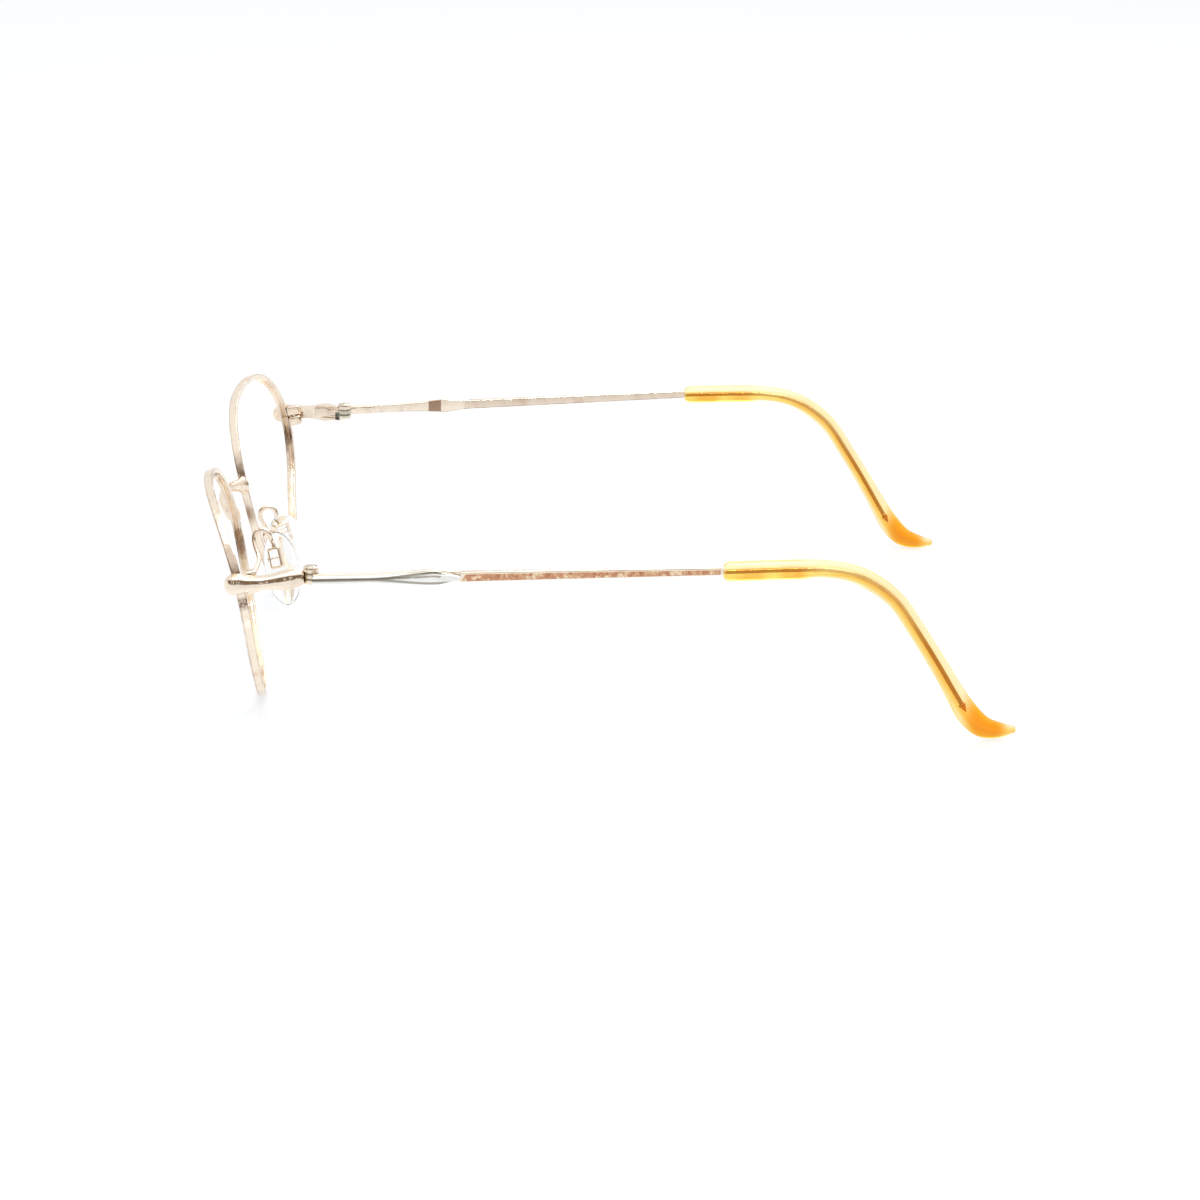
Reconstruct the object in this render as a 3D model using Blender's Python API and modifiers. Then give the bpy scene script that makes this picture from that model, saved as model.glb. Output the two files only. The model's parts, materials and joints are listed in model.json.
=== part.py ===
"""A metal eyeglass frame with folding temples, rim locks, rocking nose pads and plastic temple tips.

Run it with blender --background --python part.py, or from Blender's text editor. Metres, +Z up.
X runs across the face with the wearer's left at +X, and +Y runs from the rims to the temple tips.
Everything is laid out from the fold axis of the temples at y = 0 with the table at z = 0, and the
whole frame is then moved so that the middle of its footprint is the origin. The left half is
modelled, and each of its pieces has a mirrored copy on the right.
"""

import math

import bmesh
import bpy
from mathutils import Euler, Matrix, Vector

# Rims: the outer wall of the left rim in the plane of its lens.
NOSE_GAP = 0.02135
RIM_HALF_WIDTH = 0.02525
RIM_HALF_HEIGHT = 0.02062
RIM_SWELL = 0.0791
RIM_SWELL_TURN = math.radians(-1.2)
RIM_SLANT = 0.0265
RIM_DEPTH = 0.00158
RIM_WALL = 0.0010
GROOVE_DEPTH = 0.00045
GROOVE_WIDTH = 0.0008
LENS_CURVE_ACROSS = 0.145
LENS_CURVE_UPRIGHT = 0.435
FACE_TILT = math.radians(12.42)
FACE_WRAP = math.radians(5.57)
RIM_STEPS = 72

# Rim locks: two barrels behind the split in the rim, drawn together by a screw.
LOCK_ANGLE = math.radians(15.6)
LOCK_SLIT = 0.0003
LOCK_WIDTH = 0.0019
LOCK_REACH = 0.0025
UPPER_LOCK_HEIGHT = 0.0017
LOWER_LOCK_HEIGHT = 0.0020
LOCK_ROUNDING = 0.00035
LOCK_SCREW_RADIUS = 0.00045
LOCK_HEAD_RADIUS = 0.00072
LOCK_HEAD_HEIGHT = 0.0004

# End pieces: from the rim to the hinge, flat inside and round outside.
RIM_TO_HINGE = 0.0116
HINGE_OUTSET = -0.0019
BULB_AHEAD = 0.0016
BULB_RADIUS = 0.00175
BULB_DEPTH = 0.0026
BULB_HEIGHT_Z = 0.0285
WAIST_Y = -0.0075
WAIST_HEIGHT = 0.0024
WAIST_DEPTH = 0.0021
BULGE_Y = -0.0038
BULGE_HEIGHT = 0.0034
BULGE_DEPTH = 0.0028
END_Y = -0.0012
END_HEIGHT = 0.0025
END_DEPTH = 0.0024
END_BEND_Y = -0.0079
END_INSET = 0.0003
END_DROP = 0.0004
KNUCKLE_ROOM = 0.00015
NECK = 1.08
NECK_PLACE = 0.45
# Sections of the bulb, in degrees from its middle, and how much its height falls behind it.
BULB_TURNS = range(-76, 45, 20)
BULB_SLOPE = 0.3
# How far y, height and depth have gone from waist to bulge, and from bulge to end.
SWELLING = ((0.0, 0.0, 0.0), (0.4, 0.4, 0.45), (0.75, 0.88, 0.9), (1.0, 1.0, 1.0))
CLOSING = ((0.4, 0.25, 0.3), (0.75, 0.65, 0.7), (1.0, 1.0, 1.0))

# Hinges: three knuckles on a vertical screw.
HINGE_Z = 0.02958
KNUCKLE_RADIUS = 0.00138
KNUCKLE_HEIGHT = 0.00096
KNUCKLE_GAP = 0.00004
HINGE_SCREW_RADIUS = 0.0006
HINGE_HEAD_RADIUS = 0.0009
HINGE_HEAD_HEIGHT = 0.0004
SLOT_WIDTH = 0.0002
SLOT_DEPTH = 0.0002
SLOT_TURN = math.radians(35.0)
LEAF_THICKNESS = 0.00045
FRONT_LEAF_LENGTH = 0.0058
FRONT_LEAF_HEIGHT = 0.0024
TEMPLE_LEAF_LENGTH = 0.0046
TEMPLE_LEAF_HEIGHT = 0.0016
LEAF_START = 0.0017
FRONT_LEAF_DROP = 0.0006

# Temples: a bar with a flat inner face that goes on as a wire inside the plastic tip.
TEMPLE_START = 0.00045
TEMPLE_INSET = 0.00148
TEMPLE_START_Z = 0.02933
TIP_START = 0.0710
TIP_START_X = 0.00584
TIP_START_Z = 0.0321
BAR_HEIGHT = 0.0016
BAR_BACK_THICKNESS = 0.00075
BAR_THICKNESS = 0.0012
BAR_END_THICKNESS = 0.0010
FLARE_Y = 0.0210
FLARE_HEIGHT = 0.0027
BAR_MIDDLE_HEIGHT = 0.00177
BAR_END_HEIGHT = 0.0014
BAR_CHAMFER = 0.00018
WIRE_RADIUS = 0.00042
WIRE_SHORT = 0.0095
FLARE_FOOT = 0.0100
FLARE_OPENING = 1.7
FLARE_CLOSING = 1.5

# Half-round overlay on the outer face of each temple, and the marbled inlay behind it.
OVERLAY_END = 0.0257
OVERLAY_THICKNESS = 0.0009
OVERLAY_HEIGHT = 0.00150
OVERLAY_FLARE_HEIGHT = 0.0027
OVERLAY_DROP = 0.00008
SCOOP_Y = 0.02365
SCOOP_RADIUS = 0.0068
SCOOP_LEFT = 0.00045
INLAY_START = 0.0264
INLAY_END = TIP_START - 0.0006
INLAY_HEIGHT = 0.00128
INLAY_END_HEIGHT = 0.00082
INLAY_DEPTH = 0.00038
INLAY_DROP = 0.00012
INLAY_CHAMFER = 0.00006

# Temple tips: the sleeve over the wire, which bends down behind the ear. Each row of the tip's
# line is y, middle height above the table, height across the line, and thickness.
TIP_LINE = (
    (TIP_START, 0.03197, 0.0035, 0.0025),
    (0.0826, 0.0323, 0.0035, 0.0025),
    (0.0887, 0.0322, 0.00335, 0.0025),
    (0.0934, 0.0313, 0.0033, 0.0024),
    (0.0975, 0.0293, 0.0032, 0.0024),
    (0.1014, 0.02603, 0.0031, 0.0024),
    (0.1050, 0.0208, 0.0031, 0.0024),
    (0.1090, 0.01444, 0.0032, 0.0024),
    (0.1121, 0.00917, 0.0035, 0.0024),
    (0.1146, 0.0052, 0.0041, 0.0023),
    (0.1174, 0.00245, 0.0039, 0.0022),
    (0.1207, 0.00155, 0.0028, 0.0018),
    (0.1231, 0.00146, 0.0015, 0.0012),
)
TOE_INWARD = 0.0056
BARB_RADIUS = 0.0007
BARB_LENGTH = 0.0018
BARB_STEP = 0.0003
BARB_POINT = 0.0001

# Bridge: one bar over the nose with a plate on each rim.
BRIDGE_HEIGHT = 0.0019
BRIDGE_THICKNESS = 0.0017
BRIDGE_RISE = 0.0010
BRIDGE_AHEAD = 0.0030
BRIDGE_PLATE_HEIGHT = 0.0034
BRIDGE_PLATE_DEPTH = 0.0021
BRIDGE_ANGLE = math.radians(168.0)
# Rows of share of the way out, back from the front, down from the top, and growth to the plate.
BRIDGE_LINE = (
    (0.0, 0.0, 0.0, 0.0),
    (0.19, 0.0001, 0.0, 0.0),
    (0.37, 0.0003, 0.0001, 0.03),
    (0.55, 0.0006, 0.0003, 0.08),
    (0.71, 0.0011, 0.0005, 0.2),
    (0.84, 0.0017, 0.0007, 0.45),
    (0.93, 0.0022, 0.0009, 0.8),
)

# Nose pads: a wire arm, a box with a cross screw, and a clear pad.
PAD_OUT = 0.0093
PAD_Y = -0.0097
PAD_Z = 0.01785
PAD_SPLAY = math.radians(25.0)
PAD_FRONTAL = math.radians(17.0)
PAD_HEIGHT = 0.0140
PAD_WIDTH = 0.0076
PAD_DOME = 0.0013
PAD_BACK = 0.0006
PAD_DROP = 0.0021
PAD_FORWARD = 0.0003
BOX_WIDTH = 0.0027
BOX_HEIGHT = 0.0040
BOX_DEPTH = 0.0013
BOX_WALL = 0.00040
BOX_CORNER = 0.00055
PAD_SCREW_RADIUS = 0.00035
PAD_HEAD_RADIUS = 0.00058
PAD_HEAD_HEIGHT = 0.00030
PAD_SLOT_TURN = math.radians(20.0)
BOSS_WIDTH = 0.00165
BOSS_HEIGHT = 0.0024
PAD_STANDOFF = 0.0005
ARM_RADIUS = 0.00046
ARM_FOOT_ANGLE = math.radians(207.0)
ARM_LEAVE_ANGLE = math.radians(200.0)
ARM_DROP = 0.0014
# The crook of the arm, from the top of the box: out, back and up.
ARM_CROOK = (
    (0.0018, -0.0027, -0.0019),
    (0.0003, -0.0035, 0.0002),
    (-0.0004, -0.0038, 0.0017),
    (-0.0006, -0.0033, 0.0029),
    (-0.0006, -0.0021, 0.0033),
    (-0.0004, -0.0010, 0.0027),
)

# Clearances: between pieces that are soldered or pressed together, and between those that run.
SEAT = 0.00004
RUNNING = 0.00003
ROUND = 16
OCTAGON = 2 - math.sqrt(2)

UP = Vector((0.0, 0.0, 1.0))


def point_between(low, high, share):
    return low + (high - low) * share


def smooth_route(points, steps):
    """Points along a smooth curve through the given ones, with so many steps from each to the next."""
    ends = [points[0] * 2 - points[1], *points, points[-1] * 2 - points[-2]]
    route = []
    for before, start, end, after in zip(ends, ends[1:], ends[2:], ends[3:]):
        for step in range(steps):
            t = step / steps
            route.append(
                (
                    start * 2
                    + (end - before) * t
                    + (before * 2 - start * 5 + end * 4 - after) * t**2
                    + (start * 3 - before - end * 3 + after) * t**3
                )
                / 2
            )
    return [*route, points[-1].copy()]


# Scene, materials and small builders


def clear_scene():
    for old in list(bpy.data.objects):
        bpy.data.objects.remove(old, do_unlink=True)


def new_collection(name):
    collection = bpy.data.collections.new(name)
    bpy.context.scene.collection.children.link(collection)
    return collection


def new_material(name, colour, roughness, metallic, alpha=1.0):
    material = bpy.data.materials.new(name)
    material.use_nodes = True
    material.diffuse_color = (*colour, alpha)
    shader = material.node_tree.nodes["Principled BSDF"]
    shader.inputs["Base Color"].default_value = (*colour, 1.0)
    shader.inputs["Roughness"].default_value = roughness
    shader.inputs["Metallic"].default_value = metallic
    shader.inputs["Alpha"].default_value = alpha
    return material


def new_object(name, mesh, collection, material=None):
    body = bpy.data.objects.new(name, mesh)
    collection.objects.link(body)
    if material:
        mesh.materials.append(material)
    return body


def as_cutter(body):
    body.hide_render = True
    body.display_type = "WIRE"
    return body


def axis_at(name, parent, location, rotation=(0.0, 0.0, 0.0)):
    """An empty at a joint's axis, or in the frame of a lens, that pieces are placed in."""
    empty = bpy.data.objects.new(name, None)
    parts.objects.link(empty)
    empty.empty_display_size = 0.004
    empty.parent = parent
    empty.location = location
    empty.rotation_euler = rotation
    return empty


def finished_mesh(name, shape, flat_below=35.0):
    """The mesh of a bmesh, with its faces pointing out and its round faces smooth."""
    bmesh.ops.recalc_face_normals(shape, faces=shape.faces)
    mesh = bpy.data.meshes.new(name)
    shape.to_mesh(mesh)
    shape.free()
    mesh.shade_smooth()
    mesh.set_sharp_from_angle(angle=math.radians(flat_below))
    return mesh


def box_mesh(name, size, centre, rounding=0.0):
    shape = bmesh.new()
    bmesh.ops.create_cube(shape, size=1.0)
    bmesh.ops.scale(shape, vec=size, verts=shape.verts)
    if rounding:
        bmesh.ops.bevel(
            shape, geom=shape.edges[:], offset=rounding, segments=2, profile=0.5, affect="EDGES"
        )
    bmesh.ops.translate(shape, vec=centre, verts=shape.verts)
    return finished_mesh(name, shape)


def pin_mesh(name, radius, height, centre, turn=None, sides=ROUND, bevel=0.0):
    """A cylinder round its own Z, turned by the given matrix, with its two rims bevelled."""
    shape = bmesh.new()
    bmesh.ops.create_cone(
        shape, cap_ends=True, segments=sides, radius1=radius, radius2=radius, depth=height
    )
    if bevel:
        rims = [edge for edge in shape.edges if abs(edge.verts[0].co.z - edge.verts[1].co.z) < bevel]
        bmesh.ops.bevel(shape, geom=rims, offset=bevel, segments=1, affect="EDGES")
    bmesh.ops.rotate(shape, matrix=turn or Matrix.Identity(3), verts=shape.verts)
    bmesh.ops.translate(shape, vec=centre, verts=shape.verts)
    return finished_mesh(name, shape)


def screw_profile(name, head_radius, head_height, shaft_radius, shaft_length, bevel):
    """The half outline of a screw with its head up, to be turned round Z by a Screw modifier."""
    outline = [
        (0.0, head_height),
        (head_radius - bevel, head_height),
        (head_radius, head_height - bevel),
        (head_radius, 0.0),
        (shaft_radius, 0.0),
        (shaft_radius, bevel - shaft_length),
        (shaft_radius - bevel, -shaft_length),
        (0.0, -shaft_length),
    ]
    mesh = bpy.data.meshes.new(name)
    edges = [(i, i + 1) for i in range(len(outline) - 1)]
    mesh.from_pydata([(x, 0.0, z) for x, z in outline], edges, [])
    return mesh


def add_screw(name, parent, centre, turn, head, shaft, length, material, sides=ROUND):
    """A slotted screw: head is (radius, height) and shaft its radius, with the head's seat at centre."""
    bevel = shaft / 4
    mesh = screw_profile(name, head[0], head[1], shaft, length, bevel)
    body = new_object(name, mesh, parts, material)
    body.parent = parent
    body.location = centre
    body.rotation_euler = turn
    spin = body.modifiers.new("turned", "SCREW")
    spin.steps = spin.render_steps = sides
    spin.use_merge_vertices = True
    spin.merge_threshold = 1e-6
    spin.use_normal_calculate = True
    slot_size = (head[0] * 3, SLOT_WIDTH, SLOT_DEPTH * 2)
    slot = new_object(name + "_slot", box_mesh("slot", slot_size, (0.0, 0.0, head[1])), cutters)
    slot.parent = body
    boolean(body, as_cutter(slot), "DIFFERENCE")
    return body


def boolean(body, other, operation):
    modifier = body.modifiers.new(other.name, "BOOLEAN")
    modifier.operation = operation
    modifier.solver = "EXACT"
    modifier.object = other


def tool(name, mesh, parent):
    """A cutter, or a shape that a Boolean joins to a piece, placed in the piece's own frame."""
    body = as_cutter(new_object(name, mesh, cutters))
    body.parent = parent
    return body


def piece(name, mesh, parent, material):
    body = new_object(name, mesh, parts, material)
    body.parent = parent
    return body


def wire(name, route, radius, parent, material):
    """A round wire along the route, as a curve with filled caps."""
    curve = bpy.data.curves.new(name, "CURVE")
    curve.dimensions = "3D"
    curve.bevel_depth = radius
    curve.bevel_resolution = 2
    curve.use_fill_caps = True
    spline = curve.splines.new("POLY")
    spline.points.add(len(route) - 1)
    for point, place in zip(spline.points, route):
        point.co = (*place, 1.0)
    curve.materials.append(material)
    body = bpy.data.objects.new(name, curve)
    parts.objects.link(body)
    body.parent = parent
    return body


def loft_mesh(name, sections, cap_start=True, cap_end=True, flat_below=35.0):
    """A skin over sections that all have the same number of points, with flat ends where capped."""
    shape = bmesh.new()
    rings = [[shape.verts.new(point) for point in section] for section in sections]
    for first, second in zip(rings, rings[1:]):
        for i in range(len(first)):
            shape.faces.new((first[i - 1], first[i], second[i], second[i - 1]))
    if cap_start:
        shape.faces.new(rings[0])
    if cap_end:
        shape.faces.new(rings[-1])
    return finished_mesh(name, shape, flat_below)


def placed_section(centre, along, outline):
    """The outline's points, set square to the direction: first outward, then up."""
    along = along.normalized()
    out = along.cross(UP).normalized()
    up = out.cross(along)
    return [centre + out * u + up * v for u, v in outline]


def half_round(depth, height, steps=8):
    """A flat inner side on u = 0 and a half ellipse that bulges outward."""
    turns = [math.pi * (i / steps - 0.5) for i in range(steps + 1)]
    return [(depth * math.cos(turn), height / 2 * math.sin(turn)) for turn in turns]


def chamfered(low, high, height, chamfer):
    """A bar's section from u = low to u = high with its four corners cut."""
    side = height / 2
    return [
        (high - chamfer, -side),
        (high, chamfer - side),
        (high, side - chamfer),
        (high - chamfer, side),
        (low + chamfer, side),
        (low, side - chamfer),
        (low, chamfer - side),
        (low + chamfer, -side),
    ]


def oval(half_width, half_height, steps=12, centre=(0.0, 0.0)):
    turns = [2 * math.pi * i / steps for i in range(steps)]
    return [
        (centre[0] + half_width * math.cos(turn), centre[1] + half_height * math.sin(turn))
        for turn in turns
    ]


# Layout: the lens frame, the hinge and the end piece follow from the rim


def rim_outline(angle, outward=0.0):
    """The rim's outer wall in the lens plane, from the temple side at 0 over the top, and out from it."""
    def wall(turn):
        swell = 1.0 + RIM_SWELL * math.sin(3 * (turn - RIM_SWELL_TURN))
        swell += RIM_SLANT * math.sin(2 * turn)
        return Vector(
            (RIM_HALF_WIDTH * math.cos(turn) * swell, RIM_HALF_HEIGHT * math.sin(turn) * swell)
        )

    step = math.radians(0.5)
    along = (wall(angle + step) - wall(angle - step)).normalized()
    return wall(angle) + Vector((along.y, -along.x)) * outward


def lens_point(flat, depth):
    """A point of the lens plane moved back to the lens's curve and then by the depth."""
    bow = flat.x**2 / (2 * LENS_CURVE_ACROSS) + flat.y**2 / (2 * LENS_CURVE_UPRIGHT)
    return Vector((flat.x, flat.y, -bow - depth))


def lens_frame():
    """The left lens's rotation and centre, with the rim's foot on the table and its lock at its place."""
    turn = Euler((math.pi / 2 + FACE_TILT, 0.0, FACE_WRAP))
    matrix = turn.to_matrix()
    angles = [math.radians(i) for i in range(360)]
    edges = [matrix @ lens_point(rim_outline(a), d) for a in angles for d in (0.0, RIM_DEPTH)]
    lock = matrix @ lens_point(rim_outline(LOCK_ANGLE), RIM_DEPTH)
    centre = Vector(
        (
            NOSE_GAP / 2 - min(edge.x for edge in edges),
            -RIM_TO_HINGE - lock.y,
            -min(edge.z for edge in edges),
        )
    )
    return centre, turn


LENS_CENTRE, LENS_TURN = lens_frame()
LENS = Matrix.Translation(LENS_CENTRE) @ LENS_TURN.to_matrix().to_4x4()


def rim_place(angle, depth=0.0, outward=0.0):
    """A point on or off the left rim, in the frame's own axes."""
    return LENS @ lens_point(rim_outline(angle, outward), depth)


def widest_rim(height):
    """How far out the left rim's temple side reaches at this height."""
    near = [rim_place(math.radians(i), RIM_DEPTH / 2) for i in range(-30, 50)]
    return max(place.x for place in near if abs(place.z - height) < BULB_RADIUS)


END_FRONT_X = widest_rim(BULB_HEIGHT_Z) + SEAT
HINGE_X = END_FRONT_X + HINGE_OUTSET - SEAT
BULB_Y = -(RIM_TO_HINGE + BULB_AHEAD)


def end_inner(y):
    """The flat inner face of the end piece: straight past the rim lock, then in towards the hinge."""
    share = (y - END_BEND_Y) / (END_Y - END_BEND_Y)
    return point_between(END_FRONT_X, HINGE_X - END_INSET, max(share, 0.0))


def end_lean():
    return -math.atan2(HINGE_X - END_INSET - END_FRONT_X, END_Y - END_BEND_Y)


def temple_share(y):
    return (y - TEMPLE_START) / (TIP_START - TEMPLE_START)


def temple_place(y):
    """The temple's flat inner face at half height, from the hinge to the tip."""
    start = Vector((TEMPLE_INSET, TEMPLE_START, TEMPLE_START_Z - HINGE_Z))
    end = Vector((TIP_START_X - BAR_END_THICKNESS / 2, TIP_START, TIP_START_Z - HINGE_Z))
    return point_between(start, end, temple_share(y))


def temple_lean():
    step = temple_place(TIP_START) - temple_place(TEMPLE_START)
    return Euler((math.atan2(step.z, step.y), 0.0, -math.atan2(step.x, step.y)))


def tip_route():
    """The middle line of the tip from its start to its toe, relative to the hinge."""
    reach = TIP_LINE[-1][0] - TIP_START
    places = []
    for y, z, _, _ in TIP_LINE:
        inward = TOE_INWARD * ((y - TIP_START) / reach) ** 2
        places.append(Vector((TIP_START_X - inward, y, z - HINGE_Z)))
    return places


# Front: rims, locks, end pieces, bridge


def add_rim():
    """A grooved band swept round the lens, open at the lock."""
    profile = bpy.data.curves.new("rim_profile", "CURVE")
    profile.dimensions = "2D"
    corners = [
        (0.0, 0.0),
        (0.0, -RIM_DEPTH),
        (-RIM_WALL, -RIM_DEPTH),
        (-RIM_WALL, -(RIM_DEPTH + GROOVE_WIDTH) / 2),
        (-RIM_WALL + GROOVE_DEPTH, -RIM_DEPTH / 2),
        (-RIM_WALL, -(RIM_DEPTH - GROOVE_WIDTH) / 2),
        (-RIM_WALL, 0.0),
    ]
    outline = profile.splines.new("POLY")
    outline.points.add(len(corners) - 1)
    for point, (x, y) in zip(outline.points, corners):
        point.co = (x, y, 0.0, 1.0)
    outline.use_cyclic_u = True
    guide = bpy.data.objects.new("rim_profile", profile)
    cutters.objects.link(guide)
    guide.hide_render = True
    guide.parent = frame

    curve = bpy.data.curves.new("left_rim", "CURVE")
    curve.dimensions = "3D"
    curve.twist_mode = "Z_UP"
    curve.bevel_mode = "OBJECT"
    curve.bevel_object = guide
    curve.use_fill_caps = True
    slit = LOCK_SLIT / 2 / (RIM_HALF_HEIGHT * math.cos(LOCK_ANGLE))
    turns = [
        point_between(LOCK_ANGLE + slit, LOCK_ANGLE + 2 * math.pi - slit, i / RIM_STEPS)
        for i in range(RIM_STEPS + 1)
    ]
    spline = curve.splines.new("POLY")
    spline.points.add(RIM_STEPS)
    for point, turn in zip(spline.points, turns):
        point.co = (*lens_point(rim_outline(turn), 0.0), 1.0)
    curve.materials.append(gold)
    body = bpy.data.objects.new("left_rim", curve)
    parts.objects.link(body)
    body.parent = left_lens
    return body


def add_lock():
    """The two halves of the lock behind the rim, and the screw that closes it from below."""
    split = rim_outline(LOCK_ANGLE)
    back = lens_point(split, RIM_DEPTH).z - SEAT
    across = split.x - LOCK_WIDTH / 2 - SEAT
    middle = back - LOCK_REACH / 2
    upper_size = (LOCK_WIDTH, UPPER_LOCK_HEIGHT, LOCK_REACH)
    upper_y = split.y + (LOCK_SLIT + UPPER_LOCK_HEIGHT) / 2
    upper = piece(
        "left_lock_upper",
        box_mesh("lock_upper", upper_size, (across, upper_y, middle), LOCK_ROUNDING / 2),
        left_lens,
        gold,
    )
    lower_size = (LOCK_WIDTH, LOWER_LOCK_HEIGHT, LOCK_REACH)
    lower_y = split.y - (LOCK_SLIT + LOWER_LOCK_HEIGHT) / 2
    lower = piece(
        "left_lock_lower",
        box_mesh("lock_lower", lower_size, (across, lower_y, middle), LOCK_ROUNDING),
        left_lens,
        gold,
    )
    upright = Matrix.Rotation(math.pi / 2, 3, "X")
    bore_height = 3 * (UPPER_LOCK_HEIGHT + LOWER_LOCK_HEIGHT)
    bore_mesh = pin_mesh(
        "lock_bore", LOCK_SCREW_RADIUS + RUNNING, bore_height, (across, split.y, middle), upright
    )
    bore = tool("lock_bore", bore_mesh, left_lens)
    foot = split.y - LOCK_SLIT / 2 - LOWER_LOCK_HEIGHT
    seat_mesh = pin_mesh(
        "lock_head_seat",
        LOCK_HEAD_RADIUS + RUNNING,
        2 * LOCK_HEAD_HEIGHT,
        (across, foot, middle),
        upright,
    )
    head_seat = tool("lock_head_seat", seat_mesh, left_lens)
    boolean(upper, bore, "DIFFERENCE")
    boolean(lower, bore, "DIFFERENCE")
    boolean(lower, head_seat, "DIFFERENCE")
    screw = add_screw(
        "left_lock_screw",
        left_lens,
        (across, foot + LOCK_HEAD_HEIGHT - RUNNING, middle),
        (math.pi / 2, 0.0, 0.0),
        (LOCK_HEAD_RADIUS, LOCK_HEAD_HEIGHT - RUNNING),
        LOCK_SCREW_RADIUS,
        LOWER_LOCK_HEIGHT + LOCK_SLIT + UPPER_LOCK_HEIGHT - LOCK_HEAD_HEIGHT,
        steel,
    )
    return [upper, lower, screw]


def add_end_piece():
    """A bulb over the rim, a waist, and a second swelling that carries the hinge."""
    bulb = []
    for turn in BULB_TURNS:
        share = math.sin(math.radians(turn))
        fall = share**2 * (1.0 if share < 0 else BULB_SLOPE)
        high = 2 * BULB_RADIUS * math.sqrt(1.0 - fall)
        bulb.append((BULB_Y + BULB_RADIUS * share, high, BULB_DEPTH * high / (2 * BULB_RADIUS)))
    neck = point_between(bulb[-1][0], WAIST_Y, NECK_PLACE)
    waist = Vector((WAIST_Y, WAIST_HEIGHT, WAIST_DEPTH))
    bulge = Vector((BULGE_Y, BULGE_HEIGHT, BULGE_DEPTH))
    end = Vector((END_Y, END_HEIGHT, END_DEPTH))
    swelling = [waist + (bulge - waist) * Vector(share) for share in SWELLING]
    closing = [bulge + (end - bulge) * Vector(share) for share in CLOSING]
    stations = [*bulb, (neck, WAIST_HEIGHT * NECK, WAIST_DEPTH * NECK), *swelling, *closing]
    sections = []
    for y, height, depth in stations:
        share = (y - BULB_Y) / (END_Y - BULB_Y)
        z = point_between(BULB_HEIGHT_Z, HINGE_Z - END_DROP, share)
        centre = Vector((end_inner(y), y, z))
        sections.append([centre + Vector((u, 0.0, v)) for u, v in half_round(depth, height, 10)])
    body = piece("left_end_piece", loft_mesh("end_piece", sections), frame, gold)
    reach = KNUCKLE_RADIUS + KNUCKLE_ROOM
    relief_height = 4 * END_HEIGHT
    relief_mesh = pin_mesh("end_relief", reach, relief_height, (HINGE_X, 0.0, HINGE_Z), sides=24)
    boolean(body, tool("end_relief", relief_mesh, frame), "DIFFERENCE")
    return body


def add_bridge():
    """Half of the bridge from the middle of the nose to the rim, mirrored onto the other half."""
    wall = rim_place(BRIDGE_ANGLE, RIM_DEPTH / 2)
    front_y = wall.y - BRIDGE_AHEAD
    middle_z = wall.z + BRIDGE_RISE
    route = [
        Vector((wall.x * share, front_y + back, middle_z - down))
        for share, back, down, _ in BRIDGE_LINE
    ]
    sections = []
    for i, (place, row) in enumerate(zip(route, BRIDGE_LINE)):
        grown = row[-1]
        ahead = route[min(i + 1, len(route) - 1)] - route[max(i - 1, 0)]
        if i == 0:
            ahead.y = 0.0
        ahead.z = 0.0
        ahead.normalize()
        forward = Vector((ahead.y, -ahead.x, 0.0))
        thick = point_between(BRIDGE_THICKNESS, BRIDGE_PLATE_DEPTH, grown) / 2
        high = point_between(BRIDGE_HEIGHT, BRIDGE_PLATE_HEIGHT, grown) / 2
        sections.append([place + forward * u + UP * v for u, v in oval(thick, high)])
    plate = []
    bulge = BRIDGE_PLATE_HEIGHT**2 / (8 * RIM_HALF_HEIGHT)
    for u, v in oval(BRIDGE_PLATE_DEPTH / 2, BRIDGE_PLATE_HEIGHT / 2):
        tall = wall.z + v
        angle = min(
            (math.radians(120 + i / 2) for i in range(240)),
            key=lambda turn: abs(rim_place(turn, RIM_DEPTH / 2).z - tall),
        )
        plate.append(rim_place(angle, RIM_DEPTH / 2 - u, SEAT + bulge))
    sections.append(plate)
    mesh = loft_mesh("bridge", sections, cap_start=False)
    body = piece("bridge", mesh, frame, gold)
    mirror = body.modifiers.new("other half", "MIRROR")
    mirror.merge_threshold = 1e-5
    return body


# Hinges


def knuckle_z(number):
    """The middle of a knuckle, counted from the lowest, relative to the hinge."""
    return (number - 1) * (KNUCKLE_HEIGHT + KNUCKLE_GAP)


def add_front_hinge():
    """The leaf on the end piece with the lowest and the highest knuckle."""
    lean = Matrix.Rotation(end_lean(), 3, "Z")
    leaf_end = -KNUCKLE_RADIUS / 3
    middle_y = leaf_end - FRONT_LEAF_LENGTH / 2
    inner = end_inner(middle_y) - SEAT - LEAF_THICKNESS / 2
    shape_size = (LEAF_THICKNESS, FRONT_LEAF_LENGTH, FRONT_LEAF_HEIGHT)
    leaf = box_mesh("front_leaf", shape_size, (0.0, 0.0, 0.0), LEAF_THICKNESS / 4)
    leaf.transform(lean.to_4x4())
    body = piece("left_front_hinge", leaf, frame, gold)
    body.location = (inner, middle_y, HINGE_Z - FRONT_LEAF_DROP)
    height = 3 * KNUCKLE_HEIGHT + 2 * KNUCKLE_GAP
    barrel = pin_mesh("front_barrel", KNUCKLE_RADIUS, height, (0, 0, 0), sides=20, bevel=0.00012)
    room = pin_mesh(
        "knuckle_room", KNUCKLE_RADIUS + KNUCKLE_ROOM, KNUCKLE_HEIGHT + 2 * KNUCKLE_GAP, (0, 0, 0)
    )
    boolean(body, tool("front_barrel", barrel, left_fold), "UNION")
    boolean(body, tool("knuckle_room", room, left_fold), "DIFFERENCE")
    add_bore(body, "front", left_fold)
    return body


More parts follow.
